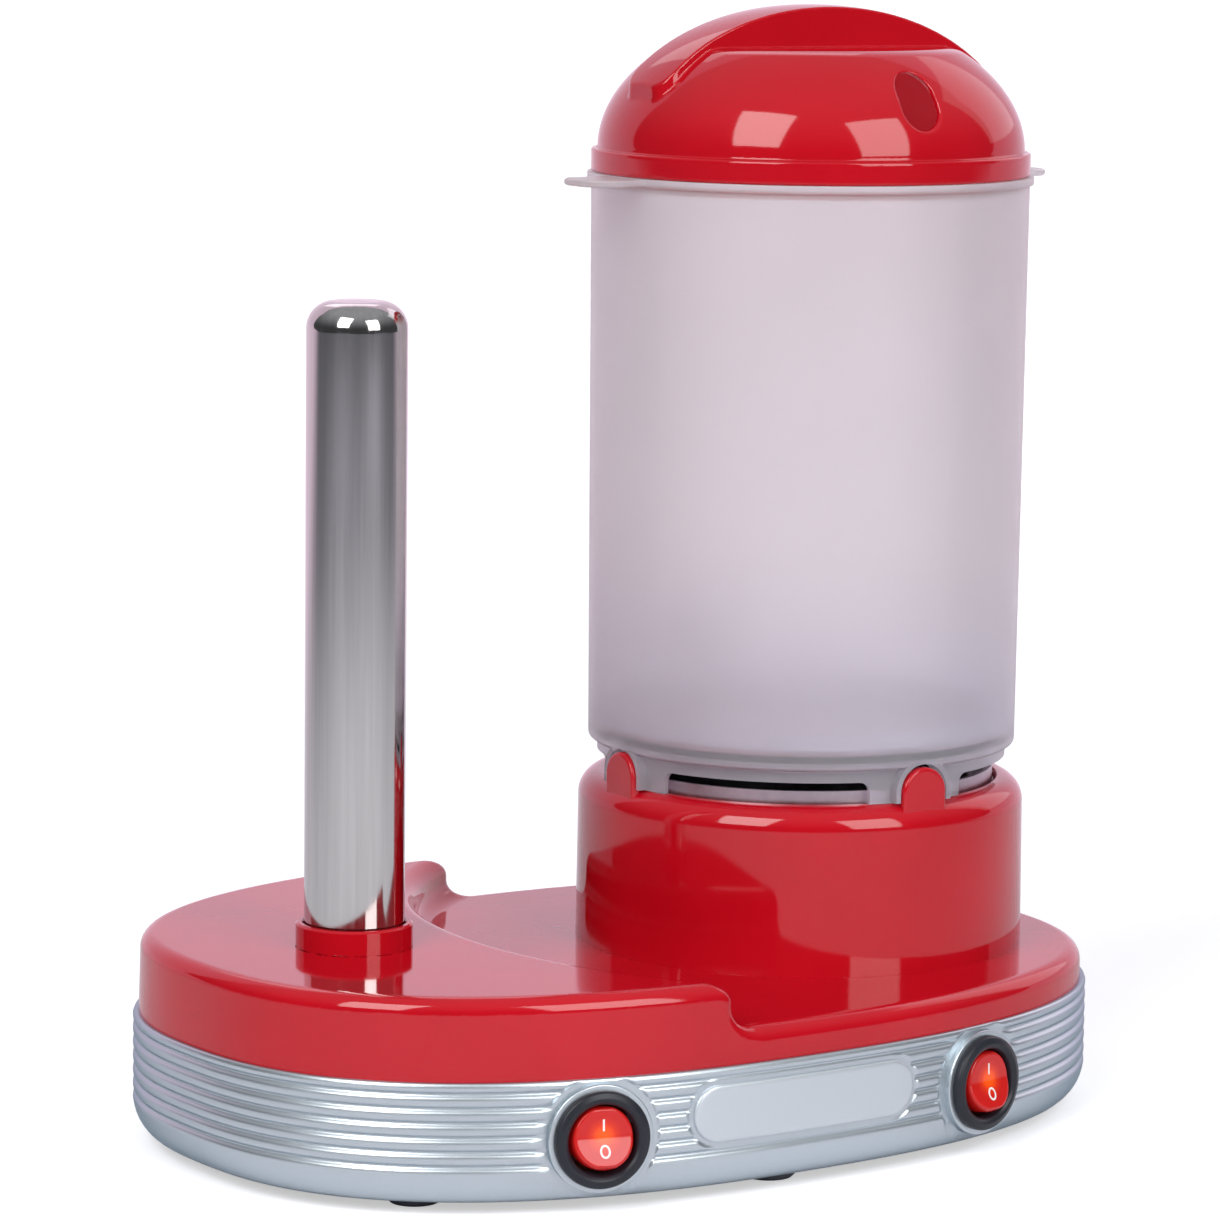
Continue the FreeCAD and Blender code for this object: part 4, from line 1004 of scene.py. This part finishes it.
build_housing()
build_lugs()
build_band()
build_bosses()
build_plate()
for side_name, switch_x in SWITCH_X.items():
    build_switch(side_name, switch_x)
build_container()
paint_lid_inside(net_object(
    "lid_shell", lid_distance, (TOWER_X - 56, -56, LID_SEAT - 1.03), (TOWER_X + 56, 56, 275),
    0.5, 0.12, "lid", ["lid"]))

# ---- CAD nodes that keep their shape -------------------------------------------------------------
FINISH = {
    "spike_collar": RED, "bottom_cover": GREY, "rubber_feet": RUBBER, "housing_screws": ZINC,
    "spike_tube": TUBE, "spike_heater": HEATER, "spike_cap": CREAM, "spike_bracket": ZINC,
    "bracket_screws": ZINC, "heating_dish": DISH, "dish_seal": SEAL, "heating_element": HEATER,
    "dish_clamp": ZINC, "dish_nuts": ZINC, "clamp_ring_screws": ZINC, "thermostat": BROWN,
    "thermal_fuse": ZINC, "heat_shield": ZINC, "shield_spacers": ZINC, "terminal_block": CREAM,
    "cord_bush": BLACK, "cord_clamp": GREY, "clamp_screws": ZINC, "wiring_supply": SHEATH,
    "wiring_spike": SHEATH, "wiring_dish": SHEATH, "sausage_tray": TRAY, "lamp_left": LAMP,
    "lamp_right": LAMP, "switch_tabs_left": BRASS, "switch_tabs_right": BRASS}
for node_name, finish in FINISH.items():
    for material_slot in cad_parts[node_name].material_slots:
        material_slot.material = finish


# ---- floor, light and camera ---------------------------------------------------------------------
def build_floor():
    """Pale sweep: a large floor that curves up behind the object."""
    verts, faces = [], []
    profile = [(-SWEEP_SIDE, 0), (SWEEP_BEND, 0)]
    profile += [(SWEEP_BEND + SWEEP_BEND * math.sin(t), SWEEP_BEND - SWEEP_BEND * math.cos(t))
                for t in (math.pi / 2 * i / 24 for i in range(1, 25))]
    profile.append((2 * SWEEP_BEND, 3500))
    forward = Vector((math.sin(AZIMUTH), math.cos(AZIMUTH), 0))
    right = Vector((forward.y, -forward.x, 0))
    for depth, height in profile:
        for side in (-SWEEP_SIDE, SWEEP_SIDE):
            p = forward * depth + right * side
            verts.append((p.x, p.y, height))
    for i in range(len(profile) - 1):
        faces.append((2 * i, 2 * i + 1, 2 * i + 3, 2 * i + 2))
    mesh = new_mesh("floor", verts, faces)
    mesh.shade_smooth()
    floor = new_object("floor", mesh)
    material, nodes, links, shader = node_material("pale_floor")
    coords = nodes.new("ShaderNodeTexCoord")
    away = nodes.new("ShaderNodeVectorMath")
    away.operation = "LENGTH"
    links.new(coords.outputs["Object"], away.inputs[0])
    behind = nodes.new("ShaderNodeVectorMath")
    behind.operation = "DOT_PRODUCT"
    behind.inputs[1].default_value = forward
    links.new(coords.outputs["Object"], behind.inputs[0])
    far = ranged(nodes, links, away.outputs["Value"], *FLOOR_FADE, 0, 1)
    links.new(ramp(nodes, links, far, [(0.0, (0.80, 0.80, 0.84)), (1.0, (0.30, 0.30, 0.33))]),
              shader.inputs["Base Color"])
    shader.inputs["Roughness"].default_value = 0.9
    shader.inputs["Specular IOR Level"].default_value = 0.2
    rays = nodes.new("ShaderNodeLightPath")
    seen = maths(nodes, links, "MAXIMUM", rays.outputs["Is Camera Ray"],
                 rays.outputs["Is Transmission Ray"])
    mirrored = maths(nodes, links, "MULTIPLY", rays.outputs["Is Glossy Ray"],
                     ranged(nodes, links, behind.outputs["Value"], -0.1, 0.9, 0, 1))
    glow = ranged(nodes, links, away.outputs["Value"], *FLOOR_FADE, *FLOOR_GLOW)
    links.new(ramp(nodes, links, rays.outputs["Is Glossy Ray"],
                   [(0.0, (1, 1, 1)), (1.0, MIRRORED_TINT)]), shader.inputs["Emission Color"])
    links.new(maths(nodes, links, "MULTIPLY", glow, maths(nodes, links, "MAXIMUM", seen, mirrored)),
              shader.inputs["Emission Strength"])
    mesh.materials.append(material)


def area_light(name, place, target, size, energy, size_y=None):
    data = bpy.data.lights.new(name, "AREA")
    data.shape = "RECTANGLE"
    data.size = size
    data.size_y = size_y or size
    data.energy = energy
    light = new_object(name, data)
    light.location = place
    light.rotation_euler = (Vector(target) - Vector(place)).to_track_quat("-Z", "Y").to_euler()


def build_world():
    """Soft studio ceiling: dim at the horizon and bright overhead."""
    world = bpy.data.worlds.new("world")
    bpy.context.scene.world = world
    world.use_nodes = True
    nodes, links = world.node_tree.nodes, world.node_tree.links
    coords = nodes.new("ShaderNodeTexCoord")
    height = nodes.new("ShaderNodeSeparateXYZ")
    links.new(coords.outputs["Generated"], height.inputs["Vector"])
    background = nodes["Background"]
    background.inputs["Color"].default_value = (0.93, 0.94, 1.0, 1)
    links.new(ranged(nodes, links, height.outputs["Z"], 0.1, 1.0, *SKY), background.inputs["Strength"])


def build_camera():
    right = Vector((math.cos(AZIMUTH), -math.sin(AZIMUTH), 0))
    forward = Vector((math.sin(AZIMUTH), math.cos(AZIMUTH), 0))
    ahead = forward * math.cos(PITCH) - Vector((0, 0, math.sin(PITCH)))
    up = right.cross(ahead)
    cam_right = right * math.cos(ROLL) + up * math.sin(ROLL)
    cam_up = up * math.cos(ROLL) - right * math.sin(ROLL)
    data = bpy.data.cameras.new("camera")
    data.lens = FOCAL_PIXELS / FRAME_PIXELS * SENSOR
    data.sensor_width = SENSOR
    data.clip_end = 50
    camera = new_object("camera", data)
    turn = Matrix((cam_right, cam_up, -ahead)).transposed()
    place = Vector((-728.3 + BASE_X, -1042.3, 309.2)) * MM
    camera.matrix_world = Matrix.Translation(place) @ turn.to_4x4()
    bpy.context.scene.camera = camera


build_floor()
area_light("key", (-1.52, -0.68, 1.3), (0, 0, 0.1), 0.95, 26, 1.4)
area_light("front", (0.14, -1.75, 0.98), (0, 0, 0.12), 0.95, 20, 1.4)
area_light("side", (1.6, 0.1, 1.0), (0, 0, 0.12), 1.2, 3)
area_light("back", (0.75, 1.6, 1.5), (0, 0, 0.12), 1.2, 4)
build_world()
build_camera()
bpy.context.scene.view_settings.view_transform = "Standard"
